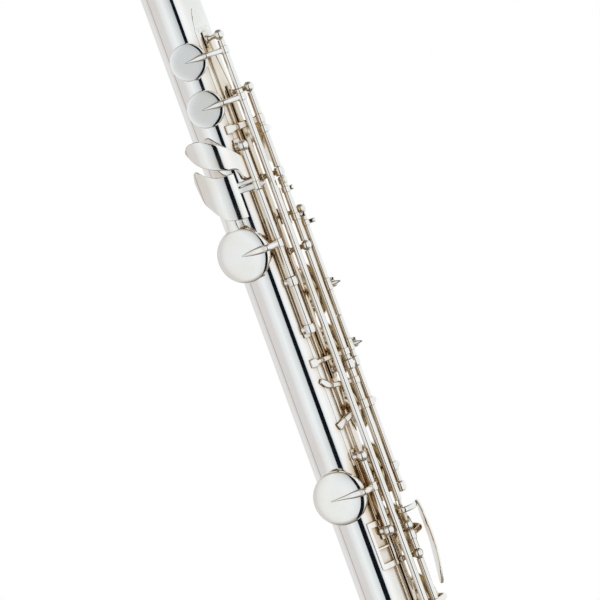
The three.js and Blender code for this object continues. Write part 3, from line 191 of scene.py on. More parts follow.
class Shape:
    """A mesh under construction, in millimetres in the flute's frame."""

    def __init__(self) -> None:
        """Starts with an empty mesh."""
        self.bm = bmesh.new()

    def absorb(self, part: bmesh.types.BMesh) -> "Shape":
        """Adds a finished part to the mesh and frees it.

        Args:
            part: The part to take in.

        Returns:
            The shape, for a chain of calls.
        """
        mesh = bpy.data.meshes.new("part")
        part.to_mesh(mesh)
        part.free()
        self.bm.from_mesh(mesh)
        bpy.data.meshes.remove(mesh)
        return self

    def close(self, part: bmesh.types.BMesh, soft: float) -> "Shape":
        """Welds a part, turns its faces outwards and rounds its sharp edges.

        Args:
            part: The part.
            soft: Width of the rounding, or 0 for none.

        Returns:
            The shape, for a chain of calls.
        """
        bmesh.ops.remove_doubles(part, verts=part.verts, dist=MERGE)
        bmesh.ops.dissolve_degenerate(part, edges=part.edges, dist=MERGE)
        bmesh.ops.recalc_face_normals(part, faces=part.faces)
        if soft:
            sharp = [e for e in part.edges if len(e.link_faces) == 2 and e.calc_face_angle(0) > SHARP]
            if sharp:
                bmesh.ops.bevel(part, geom=sharp, offset=soft, offset_type="OFFSET", profile=0.5,
                                segments=ROUND_SEGMENTS, affect="EDGES", material=-1, clamp_overlap=True)
        return self.absorb(part)

    def spun(self, profile: Profile, frame_of: Matrix, sides: int, soft: float = 0.15,
             loop: bool = False, angle: float = FULL_TURN) -> "Shape":
        """Spins a profile of [height, radius] points round the local Z of a frame.

        Args:
            profile: The points, first the height along Z and then the radius.
            frame_of: The frame.
            sides: Steps of the spin.
            soft: Rounding of sharp edges.
            loop: Whether the profile closes on itself.
            angle: How far it spins.

        Returns:
            The shape.
        """
        part = bmesh.new()
        verts = [part.verts.new((radius, 0, z)) for z, radius in profile]
        pairs = list(zip(verts, verts[1:])) + ([(verts[-1], verts[0])] if loop else [])
        edges = [part.edges.new(pair) for pair in pairs]
        full = abs(angle - FULL_TURN) < MERGE
        bmesh.ops.spin(part, geom=verts + edges, cent=(0, 0, 0), axis=(0, 0, 1), dvec=(0, 0, 0),
                       angle=angle, steps=sides, use_merge=full, use_normal_flip=False, use_duplicate=False)
        if not full:
            bmesh.ops.holes_fill(part, edges=part.edges, sides=0)
        bmesh.ops.transform(part, matrix=frame_of, verts=part.verts)
        return self.close(part, soft)

    def turned(self, profile: Profile, centre: Vector = AXIS, sides: int = Sides.ROD.value,
               soft: float = 0.15, loop: bool = False) -> "Shape":
        """Spins a profile of [x, radius] points round a line along X.

        Args:
            profile: The points.
            centre: The line's place across the tube.
            sides: Steps of the spin.
            soft: Rounding of sharp edges.
            loop: Whether the profile closes on itself.

        Returns:
            The shape.
        """
        along_x = Matrix.Translation((0, centre.y, centre.z)) @ Matrix.Rotation(math.pi / 2, 4, "Y")
        return self.spun(profile, along_x, sides, soft, loop)

    def rod(self, x0: float, x1: float, radius: float, centre: Vector,
            sides: int = Sides.ROD.value, soft: float = 0.12) -> "Shape":
        """Adds a plain rod along X.

        Args:
            x0: First end.
            x1: Last end.
            radius: The rod's radius.
            centre: Its place across the tube.
            sides: Steps round it.
            soft: Rounding of its ends.

        Returns:
            The shape.
        """
        return self.turned([(x0, 0), (x0, radius), (x1, radius), (x1, 0)], centre, sides, soft)

    def sleeve(self, x0: float, x1: float, outer: float, inner: float, centre: Vector,
               soft: float = 0.12) -> "Shape":
        """Adds a hinge tube with its bore.

        Args:
            x0: First end.
            x1: Last end.
            outer: Outside radius.
            inner: Radius of the bore.
            centre: Its place across the tube.
            soft: Rounding of its ends.

        Returns:
            The shape.
        """
        return self.turned([(x0, inner), (x0, outer), (x1, outer), (x1, inner)], centre,
                           Sides.ROD.value, soft, loop=True)

    def between(self, start: Vector, end: Vector, radii: Profile, sides: int = Sides.SMALL.value,
                soft: float = 0.1) -> "Shape":
        """Turns a pillar between two points.

        Args:
            start: Its foot.
            end: Its head.
            radii: Points of [share of the length, radius].
            sides: Steps round it.
            soft: Rounding of sharp edges.

        Returns:
            The shape.
        """
        along = end - start
        place = Matrix.Translation(start) @ along.to_track_quat("Z", "Y").to_matrix().to_4x4()
        profile = [(0, 0)] + [(share * along.length, radius) for share, radius in radii]
        profile.append((along.length, 0))
        return self.spun(profile, place, sides, soft)

    def lofted(self, sections: Sequence[Sequence[Vector]], soft: float = 0) -> "Shape":
        """Draws a closed skin over outlines by extruding one to the next.

        Args:
            sections: Outlines with as many points each.
            soft: Rounding of sharp edges.

        Returns:
            The shape.
        """
        part = bmesh.new()
        ring = [part.verts.new(point) for point in sections[0]]
        for section in sections[1:]:
            edges = [part.edges.get(pair) or part.edges.new(pair) for pair in zip(ring, ring[1:] + ring[:1])]
            grown = bmesh.ops.extrude_edge_only(part, edges=edges)
            fresh = {item for item in grown["geom"] if isinstance(item, bmesh.types.BMVert)}
            ring = [next(e.other_vert(v) for e in v.link_edges if e.other_vert(v) in fresh) for v in ring]
            for vert, point in zip(ring, section):
                vert.co = point
        bmesh.ops.holes_fill(part, edges=part.edges, sides=0)
        return self.close(part, soft)

    def bar(self, stops: Sequence[Sequence[float]], steps: int = 6, crown: float = 0.5,
            up: Optional[Vector] = None) -> "Shape":
        """Runs a smooth bar with a crowned back through stops.

        Args:
            stops: Rows of x, y, z, width and thickness.
            steps: Samples between stops.
            crown: How far the back's shoulders drop, as a share of the half thickness.
            up: The way its back faces, away from the tube's axis by default.

        Returns:
            The shape.
        """
        rows = smooth_path(stops, steps)
        sections = []
        for k, (x, y, z, width, thickness) in enumerate(rows):
            before, after = rows[max(k - 1, 0)], rows[min(k + 1, len(rows) - 1)]
            along = (Vector(after[:3]) - Vector(before[:3])).normalized()
            back = up or Vector((0, y, z)).normalized()
            across = along.cross(back).normalized()
            back = across.cross(along).normalized()
            middle = Vector((x, y, z))
            outline = []
            for j in range(BAR_SIDES):
                turn = FULL_TURN * j / BAR_SIDES
                side = math.copysign(abs(math.cos(turn)) ** BAR_SQUARE, math.cos(turn))
                lift = math.copysign(abs(math.sin(turn)) ** BAR_SQUARE, math.sin(turn))
                drop = crown * side * side if lift > 0 else 0
                outline.append(middle + across * side * width / 2
                               + back * (lift - drop * lift) * thickness / 2)
            sections.append(outline)
        for at, step in ((0, 1), (-1, -1)):
            middle = sum(sections[at], Vector()) / BAR_SIDES
            heading = (middle - sum(sections[at + step], Vector()) / BAR_SIDES).normalized()
            reach = min(rows[at][3], rows[at][4]) * BAR_END_REACH
            caps = []
            for share in BAR_END_SHARES:
                rise = math.sqrt(1 - share * share)
                caps.append([middle + (p - middle) * share + heading * reach * rise for p in sections[at]])
            sections = [*reversed(caps), *sections] if at == 0 else [*sections, *caps]
        return self.lofted(sections)

    def turn(self, line: RodLine, deg: float) -> "Shape":
        """Turns all of the shape about a rod line.

        Args:
            line: The rod line.
            deg: The turn in degrees, by the right-hand rule about +X.

        Returns:
            The shape.
        """
        bmesh.ops.rotate(self.bm, cent=line.centre, verts=self.bm.verts,
                         matrix=Matrix.Rotation(math.radians(deg), 3, "X"))
        return self

    def mesh(self, name: str) -> bpy.types.Mesh:
        """Writes the shape into a mesh, still in millimetres.

        Args:
            name: Name of the mesh.

        Returns:
            The mesh, with smooth faces and its sharp edges marked.
        """
        for face in self.bm.faces:
            face.smooth = True
        for edge in self.bm.edges:
            edge.smooth = edge.calc_face_angle(0) < SHARP if len(edge.link_faces) == 2 else True
        mesh = bpy.data.meshes.new(name)
        self.bm.to_mesh(mesh)
        self.bm.free()
        return mesh


BAR_SIDES = 20
BAR_SQUARE = 0.72
BAR_END_REACH = 0.32
BAR_END_SHARES = (0.93, 0.72, 0.38)


@dataclass(frozen=True)
class Cylinder:
    """A round wall of a tube, whose shading follows its true curve."""

    point: Vector
    along: Vector
    radius: float

    def offset(self, place: Vector) -> Vector:
        """The vector from the cylinder's axis to a place."""
        away = place - self.point
        return away - self.along * away.dot(self.along)

    def holds(self, place: Vector) -> bool:
        """Whether a place lies on the wall."""
        return abs(self.offset(place).length - self.radius) < WALL_TOLERANCE


WALL_TOLERANCE = 0.02


def carved(base: Shape, joined: Sequence[Shape], cut: Sequence[Shape], walls: Sequence[Cylinder],
           name: str) -> bpy.types.Mesh:
    """Joins and cuts shapes, then gives each round wall its true normals.

    Args:
        base: The shape to work on.
        joined: Shapes to add.
        cut: Shapes to take away.
        walls: The round walls of the result.
        name: Name of the mesh.

    Returns:
        The mesh in millimetres.
    """
    made = []

    def stand(shape: Shape) -> bpy.types.Object:
        """Puts a shape in the scene as a helper object."""
        helper = bpy.data.objects.new("helper", shape.mesh("helper"))
        bpy.context.scene.collection.objects.link(helper)
        made.append(helper)
        return helper

    body = stand(base)
    for operation, shapes in (("UNION", joined), ("DIFFERENCE", cut)):
        for shape in shapes:
            modifier = body.modifiers.new(operation, "BOOLEAN")
            modifier.operation = operation
            modifier.solver = "EXACT"
            modifier.object = stand(shape)
    graph = bpy.context.evaluated_depsgraph_get()
    mesh = bpy.data.meshes.new_from_object(body.evaluated_get(graph))
    mesh.name = name
    for helper in made:
        data = helper.data
        bpy.data.objects.remove(helper)
        bpy.data.meshes.remove(data)
    corners = [Vector(vert.co) for vert in mesh.vertices]
    normals = [Vector() for _ in mesh.loops]
    for face in mesh.polygons:
        face.use_smooth = True
        places = [corners[index] for index in face.vertices]
        wall = next((w for w in walls if all(w.holds(place) for place in places)), None)
        for loop_index, place in zip(face.loop_indices, places):
            normal = face.normal
            if wall:
                radial = wall.offset(place).normalized()
                normal = radial if radial.dot(face.normal) > 0 else -radial
            normals[loop_index] = normal
    mesh.normals_split_custom_set(normals)
    return mesh


# Shader nodes


class Wire:
    """A socket's output with arithmetic on values."""

    def __init__(self, desk: "Desk", socket: bpy.types.NodeSocket) -> None:
        """Keeps the socket and the desk that adds its nodes."""
        self.desk = desk
        self.socket = socket

    def _maths(self, operation: str, *values: Union["Wire", float]) -> "Wire":
        """Adds one Math node."""
        return self.desk.node("ShaderNodeMath", {"operation": operation}, dict(enumerate(values)))

    def __add__(self, other: Union["Wire", float]) -> "Wire":
        """Adds two values."""
        return self._maths("ADD", self, other)

    __radd__ = __add__

    def __mul__(self, other: Union["Wire", float]) -> "Wire":
        """Multiplies two values."""
        return self._maths("MULTIPLY", self, other)

    __rmul__ = __mul__

    def __sub__(self, other: Union["Wire", float]) -> "Wire":
        """Takes a value away."""
        return self._maths("SUBTRACT", self, other)

    def __rsub__(self, other: Union["Wire", float]) -> "Wire":
        """Takes this value away from another."""
        return self._maths("SUBTRACT", other, self)

    def __truediv__(self, other: Union["Wire", float]) -> "Wire":
        """Divides by a value."""
        return self._maths("DIVIDE", self, other)

    def arctan2(self, other: "Wire") -> "Wire":
        """The angle of this value over another."""
        return self._maths("ARCTAN2", self, other)


class Desk:
    """Adds nodes to one tree."""

    def __init__(self, tree: bpy.types.NodeTree) -> None:
        """Clears the tree."""
        self.tree = tree
        tree.nodes.clear()

    def node(self, kind: str, settings: Optional[dict] = None, inputs: Optional[dict] = None,
             output: Union[int, str] = 0) -> Wire:
        """Adds any node.

        Args:
            kind: The node's type.
            settings: Its settings, and a ramp's stops under "stops".
            inputs: Values or links of its sockets, by name or number.
            output: Which output to give back.

        Returns:
            The chosen output, or the first.
        """
        made = self.tree.nodes.new(kind)
        for key, value in (settings or {}).items():
            if key == "stops":
                ramp = made.color_ramp.elements
                while len(ramp) < len(value):
                    ramp.new(1)
                for element, (place, colour) in zip(ramp, value):
                    element.position = place
                    element.color = colour
            else:
                setattr(made, key, value)
        for key, value in (inputs or {}).items():
            if isinstance(value, Wire):
                self.tree.links.new(value.socket, made.inputs[key])
            else:
                made.inputs[key].default_value = value
        return Wire(self, made.outputs[output]) if made.outputs else Wire(self, None)


# Direction across the tube towards the rods' side, to which the silver's painted shade is kept
ROD_SIDE = (math.sin(math.radians(31.3)), math.cos(math.radians(31.3)))


def grey(value: float) -> tuple[float, float, float, float]:
    """Gives a plain grey colour."""
    return (value, value, value, 1)


@dataclass(frozen=True)
class Plate:
    """Polished silver plate: a mirror with faint clouding and fine wiping marks, and on the rods' side a warm
    painted shade where neighbouring parts shelter it, with random tarnish patches.
    """

    name: str = "silver_plate"
    slot: str = "silver_tube"
    clean: tuple = (0.955, 0.95, 0.935, 1)
    toned: tuple = (0.93, 0.915, 0.885, 1)
    # Warm tint of painted shade in sheltered places, and of random tarnish patches
    shade_and_tarnish: tuple = (0.62, 0.48, 0.3, 1)
    reach: float = 0.009
    # Occlusion range over which the painted shade builds up, and the side range that keeps it to the rods' side
    painted_shade_range: tuple = (0.05, 0.5)
    shaded: tuple = (0.0012, 0.006)
    overall: float = 0.3
    smooth: float = 0.035
    cloud: float = 0.045
    cloud_scale: float = 38.0
    wipe_scale: float = 900.0
    bump: float = 0.012

    def build(self) -> bpy.types.Material:
        """Makes the material.

        Returns:
            The material.
        """
        material = bpy.data.materials.new(self.name)
        material.use_nodes = True
        desk = Desk(material.node_tree)
        place = desk.node("ShaderNodeTexCoord", output="Object")
        cloud = desk.node("ShaderNodeTexNoise", {}, {"Vector": place, "Scale": self.cloud_scale,
                                                     "Detail": 4.0, "Roughness": 0.6})
        stretched = desk.node("ShaderNodeMapping", {}, {"Vector": place, "Scale": (0.12, 1.0, 1.0)})
        wipes = desk.node("ShaderNodeTexNoise", {}, {"Vector": stretched, "Scale": self.wipe_scale,
                                                     "Detail": 3.0, "Roughness": 0.5})
        mask = desk.node("ShaderNodeValToRGB", {"stops": [(0.42, grey(0)), (0.72, grey(1))]}, {"Fac": cloud})
        colour = desk.node("ShaderNodeMix", {"data_type": "RGBA"},
                           {0: mask, 6: self.clean, 7: self.toned}, output=2)
        # Painted shade: ambient occlusion turns the silver warm and darker where neighbouring parts shelter it,
        # standing in for shade and reflections between parts; cloud noise adds random tarnish patches; both
        # only on the rods' side
        open_share = desk.node("ShaderNodeAmbientOcclusion", {"samples": SHELTER_SAMPLES},
                               {"Distance": self.reach},
                               output="AO")
        start, end = self.painted_shade_range
        near, far = self.shaded
        parts = desk.node("ShaderNodeSeparateXYZ", {}, {"Vector": place})
        across, up = (Wire(desk, parts.socket.node.outputs[k]) for k in (1, 2))
        rods_side = (across * -ROD_SIDE[0] + up * ROD_SIDE[1] - near) / (far - near)
        rods_side = desk.node("ShaderNodeClamp", {}, {"Value": rods_side})
        shade_tarnish_mix = desk.node("ShaderNodeValToRGB", {"stops": [(start, grey(0)), (end, grey(1))]},
                            {"Fac": 1 - open_share + cloud * SHELTER_PATCH - SHELTER_PATCH / 2})
        shade_tarnish_mix = desk.node("ShaderNodeClamp", {}, {"Value": (shade_tarnish_mix + self.overall * cloud) * rods_side})
        colour = desk.node("ShaderNodeMix", {"data_type": "RGBA"}, {0: shade_tarnish_mix, 6: colour, 7: self.shade_and_tarnish},
                           output=2)
        bump = desk.node("ShaderNodeBump", {}, {"Strength": self.bump, "Distance": 0.0002, "Height": wipes})
        shader = desk.node("ShaderNodeBsdfPrincipled", {}, {
            "Base Color": colour, "Metallic": 1.0, "Normal": bump,
            "Roughness": mask * self.cloud + wipes * 0.02 + self.smooth})
        desk.node("ShaderNodeOutputMaterial", {}, {"Surface": shader})
        return material


@dataclass(frozen=True)
class Steel:
    """Drawn steel rod with lengthwise lines."""

    name: str = "drawn_steel"
    slot: str = "steel"
    light: tuple = (0.5, 0.51, 0.53, 1)
    dark: tuple = (0.3, 0.31, 0.34, 1)
    roughness: float = 0.2
    line_scale: float = 1500.0

    def build(self) -> bpy.types.Material:
        """Makes the material.

        Returns:
            The material.
        """
        material = bpy.data.materials.new(self.name)
        material.use_nodes = True
        desk = Desk(material.node_tree)
        place = desk.node("ShaderNodeTexCoord", output="Object")
        drawn = desk.node("ShaderNodeMapping", {}, {"Vector": place, "Scale": (0.05, 1.0, 1.0)})
        lines = desk.node("ShaderNodeTexNoise", {},
                          {"Vector": drawn, "Scale": self.line_scale, "Detail": 3.0})
        colour = desk.node("ShaderNodeMix", {"data_type": "RGBA"},
                           {0: lines, 6: self.dark, 7: self.light}, output=2)
        shader = desk.node("ShaderNodeBsdfPrincipled", {}, {
            "Base Color": colour, "Metallic": 1.0, "Roughness": lines * 0.12 + self.roughness})
        desk.node("ShaderNodeOutputMaterial", {}, {"Surface": shader})
        return material


@dataclass(frozen=True)
class Skin:
    """Yellow fish skin drawn over the felt of a pad, or natural cork, by its numbers."""

    name: str = "fish_skin"
    slot: str = "pad"
    light: tuple = (0.86, 0.62, 0.22, 1)
    dark: tuple = (0.62, 0.36, 0.07, 1)
    roughness: float = 0.42
    grain_scale: float = 260.0
    bump: float = 0.35

    def build(self) -> bpy.types.Material:
        """Makes the material.

        Returns:
            The material.
        """
        material = bpy.data.materials.new(self.name)
        material.use_nodes = True
        desk = Desk(material.node_tree)
        place = desk.node("ShaderNodeTexCoord", output="Object")
        grain = desk.node("ShaderNodeTexNoise", {}, {"Vector": place, "Scale": self.grain_scale,
                                                     "Detail": 5.0, "Roughness": 0.65})
        cells = desk.node("ShaderNodeTexVoronoi", {"feature": "F1"},
                          {"Vector": place, "Scale": self.grain_scale * 3})
        tone = desk.node("ShaderNodeValToRGB", {"stops": [(0.3, grey(0)), (0.7, grey(1))]}, {"Fac": grain})
        colour = desk.node("ShaderNodeMix", {"data_type": "RGBA"},
                           {0: tone, 6: self.dark, 7: self.light}, output=2)
        bump = desk.node("ShaderNodeBump", {}, {"Strength": self.bump, "Distance": 0.0002,
                                                "Height": grain * 0.7 + cells * 0.3})
        shader = desk.node("ShaderNodeBsdfPrincipled", {}, {
            "Base Color": colour, "Roughness": tone * 0.12 + self.roughness, "Normal": bump})
        desk.node("ShaderNodeOutputMaterial", {}, {"Surface": shader})
        return material


# Samples of the occlusion that paints shade into the silver, and how much cloud noise breaks up that painted
# shade
SHELTER_SAMPLES = 12
SHELTER_PATCH = 0.16


class Finish(Enum):
    """The finishes of the flute's pieces."""

    SPRING = Steel("spring_bronze", "steel", (0.8, 0.6, 0.32, 1), (0.55, 0.38, 0.17, 1))
    TUBE = Plate()
    # The fifth colour is the warm tint of painted shade in sheltered places and of random tarnish patches
    KEYS = Plate("silver_keys", "silver_keys", (0.95, 0.935, 0.905, 1), (0.92, 0.885, 0.82, 1),
                 (0.58, 0.43, 0.25, 1), 0.008, (0.1, 0.62), (0.001, 0.006), 0.12, 0.05, 0.05, 60.0, 700.0,
                 0.015)
    STEEL = Steel()
    PAD = Skin()
    CORK = Skin("natural_cork", "cork", (0.72, 0.5, 0.31, 1), (0.42, 0.26, 0.14, 1), 0.75, 420.0, 0.6)


MATERIALS = {finish: finish.value.build() for finish in Finish}


def place_piece(mesh: bpy.types.Mesh, name: str, body: str, finish: Finish,
                nodes: Iterable[str] = (), weighted: bool = True) -> bpy.types.Object:
    """Puts a finished mesh on its body.

    Args:
        mesh: The mesh in millimetres.
        name: Name of the piece.
        body: The body that it rides on.
        finish: Its finish.
        nodes: The nodes that it stands for.
        weighted: Whether its normals follow its larger faces.

    Returns:
        The object.
    """
    mesh.transform(Matrix.Scale(MM, 4))
    mesh.name = name
    piece = bpy.data.objects.new(name, mesh)
    bpy.context.scene.collection.objects.link(piece)
    mesh.materials.clear()
    mesh.materials.append(MATERIALS[finish])
    if weighted:
        modifier = piece.modifiers.new("flat_faces", "WEIGHTED_NORMAL")
        modifier.keep_sharp = True
    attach(piece, body)
    nodes = list(nodes)
    if nodes:
        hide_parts(*nodes)
    log.info("%s on %s: %d faces", name, body, len(mesh.polygons))
    return piece


# Cups, pads, arms and posts


@dataclass(frozen=True)
class CupForm:
    """Sizes shared by every padded cup, in millimetres from the tube's axis."""

    pad_overlap: float = 1.8
    wall: float = 0.5
    seat: float = 15.65
    roof: float = 18.35
    lip: float = 16.65
    edge: float = 18.1
    dome_large: float = 1.35
    dome_small: float = 0.36
    power_large: float = 6.0
    power_small: float = 9.0
    dome_steps: int = 26
    pad_rise: float = 2.4

    def outside(self, hole: float) -> float:
        """Outside radius of the cup over a hole."""
        return hole + self.pad_overlap + TUBE.gap + self.wall

    def dome(self, hole: float, radius: float) -> float:
        """Height of the cup's face at a radius.

        Args:
            hole: Radius of the tone hole.
            radius: Distance from the cup's middle.

        Returns:
            The height over the tube's axis.
        """
        large = hole >= TUBE.large_hole
        rise = self.dome_large if large else self.dome_small
        power = self.power_large if large else self.power_small
        base = self.edge if large else self.edge + self.dome_large - self.dome_small - SMALL_CUP_DROP
        share = min(radius / self.outside(hole), 1)
        return base + rise * (1 - share ** power)

    def cup(self, shape: Shape, x: float, deg: float, hole: float) -> None:
        """Adds a shut cup with its domed face.

        Args:
            shape: The key's shape.
            x: The hole's station.
            deg: Its angle round the tube.
            hole: Its radius.
        """
        outside = self.outside(hole)
        inside = outside - self.wall
        sides = Sides.CUP if hole >= TUBE.large_hole else Sides.SMALL_CUP
        rim = self.dome(hole, outside)
        profile = [(self.roof - CUP_ROOF_DROP, 0), (self.roof - CUP_ROOF_DROP, inside), (self.lip, inside)]
        profile += [(self.lip, outside + CUP_BEAD / 2), (self.lip + CUP_BEAD, outside + CUP_BEAD / 2)]
        profile += [(self.lip + 2 * CUP_BEAD, outside), (rim - CUP_EDGE, outside)]
        for k in range(self.dome_steps + 1):
            radius = (outside - CUP_EDGE * 0.6) * (1 - k / self.dome_steps) ** 0.7
            profile.append((self.dome(hole, radius), radius))
        shape.spun(profile, around(x, deg), sides.value, soft=0.12)

    def pad(self, x: float, deg: float, hole: float) -> Shape:
        """Builds a pad with its pressed ring.

        Args:
            x: The hole's station.
            deg: Its angle.
            hole: Its radius.

        Returns:
            The pad's shape, shut.
        """
        radius = hole + self.pad_overlap
        top = self.seat + self.pad_rise
        ring = hole + TUBE.chimney_wall / 2
        profile = [(self.seat + PAD_DIP, 0), (self.seat + PAD_DIP * 0.6, ring * 0.6),
                   (self.seat + PAD_DIP * 0.4, ring - 0.9),
                   (self.seat + PAD_DIP * 1.6, ring), (self.seat + PAD_DIP * 0.3, ring + 0.6)]
        profile += arc((self.seat + PAD_ROUND, radius - PAD_ROUND), PAD_ROUND, 180, 90)
        profile += [(top, radius), (top, 0)]
        return Shape().spun(profile, around(x, deg), Sides.CUP.value, soft=0)


SMALL_CUP_DROP = 0.15
CUP_ROOF_DROP = 0.15
CUP_EDGE = 0.35
CUP_BEAD = 0.28
PAD_DIP = 0.12
PAD_ROUND = 0.9
FORM = CupForm()


@dataclass(frozen=True)
class ArmForm:
    """A pointed arm from a hinge tube over its cup."""

    root: float = 3.3
    waist: float = 3.0
    belly: float = 3.7
    point: float = 0.5
    thickness: float = 2.0
    sink: float = 0.25
    collar: float = 0.55

    def add(self, shape: Shape, x: float, deg: float, hole: float, line: RodLine, radius: float,
            root_x: Optional[float] = None, reach: float = 0, arch: float = 0) -> None:
        """Adds the arm and the collar that it stands on.

        Args:
            shape: The key's shape.
            x: The hole's station.
            deg: Its angle.
            hole: Its radius.
            line: The key's rod line.
            radius: Radius of its hinge tube.
            root_x: Station of the arm's root where it differs.
            reach: How far the point runs past the cup's middle.
            arch: How far the arm rises over a straight one near its root.
        """
        start = x if root_x is None else root_x
        away = line.deg - deg
        root = polar(TUBE.radius + line.height, away)
        side = math.copysign(1, root.y)
        edge = FORM.outside(hole)
        scale = 1 if hole >= TUBE.large_hole else 0.86

        def on_face(share: float, width: float, thickness: float) -> list:
            """A stop that lies on the cup's face."""
            height = FORM.dome(hole, edge * abs(share)) + thickness / 2 - self.sink
            return [x, side * edge * share, height, width * scale, thickness]

        shoulder = FORM.dome(hole, edge * 0.9) + self.thickness * 0.45
        outer = [start + (x - start) * 0.5, side * (edge + 1.5),
                 shoulder + self.thickness * 0.1 + arch * 0.55,
                 self.waist * scale, self.thickness]
        stops = [[start, root.y, root.z, self.root * scale, self.thickness]]
        if arch:
            stops.append([start, root.y * 0.94 + outer[1] * 0.06, root.z + arch,
                          self.waist * scale, self.thickness])
        stops += [
            outer,
            [x, side * edge * 0.86, shoulder, self.belly * scale, self.thickness],
            on_face(0.55, self.belly * 0.86, self.thickness * 0.78),
            on_face(0.22, self.belly * 0.5, self.thickness * 0.55),
            on_face(-reach / edge, self.point, 0.5),
        ]
        arm = Shape().bar(stops, steps=7, crown=0.62, up=Vector((0, 0, 1)))
        bmesh.ops.transform(arm.bm, matrix=Matrix.Rotation(math.radians(deg), 4, "X"), verts=arm.bm.verts)
        shape.absorb(arm.bm)
        half = self.root * scale / 2 + 0.3
        shape.sleeve(start - half, start + half, radius + self.collar, radius - 0.3, line.centre, soft=0.25)


ARM = ArmForm()


@dataclass(frozen=True)
class PostForm:
    """A post that carries a rod line."""

    radius: float = 2.55
    bore: float = 1.15
    half: float = 2.1
    neck: float = 1.05
    foot: float = 2.1
    rib_inner: float = 13.42
    rib_outer: float = 14.85
    rib_deg: float = 13

    def head(self, shape: Shape, x: float, line: RodLine, ball: bool,
             closed: int = 0, share: float = 1) -> None:
        """Adds the post's head round the rod line.

        Args:
            shape: The rib's shape.
            x: The post's station.
            line: The rod line.
            ball: Whether the head is a ball rather than a barrel.
            closed: -1 or 1 where a screw closes that end.
            share: Its radius as a share of the usual one.
        """
        radius = self.radius * share
        end = radius * (0.62 if ball else 0.86)
        steps = 10
        profile = []
        for k in range(steps + 1):
            along = -1 + 2 * k / steps
            swell = math.sqrt(max(1 - along * along * (1 - (end / radius) ** 2), 0))
            profile.append((x + along * self.half, radius * swell))
        loop = [(x - self.half, self.bore), *profile, (x + self.half, self.bore)]
        shape.turned(loop, line.centre, Sides.ROD.value, 0.12, loop=True)
        if closed:
            face = x + closed * self.half
            shape.rod(min(face, face + closed * 0.35), max(face, face + closed * 0.35),
                      end * 0.72, line.centre)

    def stand(self, shape: Shape, x: float, line: RodLine, rib_deg: float) -> None:
        """Adds the pillar from the rib to the head.

        Args:
            shape: The rib's shape.
            x: The post's station.
            line: The rod line.
            rib_deg: The rib's angle.
        """
        foot = polar(self.rib_outer - 0.35, rib_deg, x)
        top = line.at(x)
        length = (top - foot).length
        reach = (length - self.radius * 0.7) / length
        radii = [(0, self.foot), (0.5 / length, self.foot), (0.9 / length, self.foot * 0.82),
                 (1.5 / length, self.neck * 1.25), (reach * 0.55, self.neck), (reach, self.neck * 1.3)]
        shape.between(foot, foot + (top - foot) * reach,
                      [(s / reach if s > 1 / length else s, r) for s, r in radii])

    def strip(self, shape: Shape, x0: float, x1: float, deg: float, width: float = 0,
              inner: float = 0, outer: float = 0) -> None:
        """Adds the rib, soldered to the tube.

        Args:
            shape: The rib's shape.
            x0: First end.
            x1: Last end.
            deg: The rib's angle.
            width: Its width in degrees where it isn't the usual one.
            inner: Its inside radius where it isn't the usual one.
            outer: Its outside radius where it isn't the usual one.
        """
        wide = width or self.rib_deg
        low, high = inner or self.rib_inner, outer or self.rib_outer
        place = (Matrix.Rotation(math.radians(deg - wide / 2 - 180), 4, "X")
                 @ Matrix.Rotation(math.pi / 2, 4, "Y"))
        profile = [(x0, low), (x0, high), (x1, high), (x1, low)]
        shape.spun(profile, place, 12, soft=0.3, loop=True, angle=math.radians(wide))


POST = PostForm()


OVERLAY_RADIUS = 15.05
PIVOT = 0.8
CORE = 0.85
HINGE = 1.75


@dataclass(frozen=True)
class Lug:
    """A small arm off a hinge tube, with the collar it stands on."""

    x: float
    deg: float
    length: float
    width: float = 2.6
    collar: bool = True
    slant: float = 0
    tip: float = 0.9
    thickness: float = 1.5
    overlay: tuple = ()
    shut_turn: float = 0

    def add(self, shape: Shape, line: RodLine, radius: float = 1.75) -> None:
        """Adds the lug to a key's shape.

        Args:
            shape: The key's shape.
            line: The rod line.
            radius: Radius of the hinge tube.
        """
        centre = line.at(self.x)
        way = polar(1, self.deg)
        up = Vector((1, 0, 0)).cross(way)
        reach = [0, 0.45, 0.8, 1]
        sizes = [(1.0, 1.25), (0.95, 1.05), ((1 + self.tip) / 2, 1.0), (self.tip, 0.85)]
        stops = [[self.x + self.slant * share, *(centre + way * self.length * share)[1:], self.width * wide,
                  self.thickness * thick] for share, (wide, thick) in zip(reach, sizes)]
        shape.bar(stops, steps=4, crown=0.25, up=up)
        if self.collar:
            shape.sleeve(self.x - self.width * 0.6, self.x + self.width * 0.6, radius + 0.45, radius - 0.3,
                         line.centre, soft=0.2)
        if self.overlay:
            rows = [[self.x + step, *polar(OVERLAY_RADIUS, deg)[1:], width, 1.25]
                    for step, deg, width in self.overlay]
            middle = (self.overlay[0][1] + self.overlay[-1][1]) / 2
            arm = Shape().bar(rows, steps=5, crown=0.3, up=polar(1, middle))
            arm.turn(line, self.shut_turn)
            shape.absorb(arm.bm)


# The joints of the tube


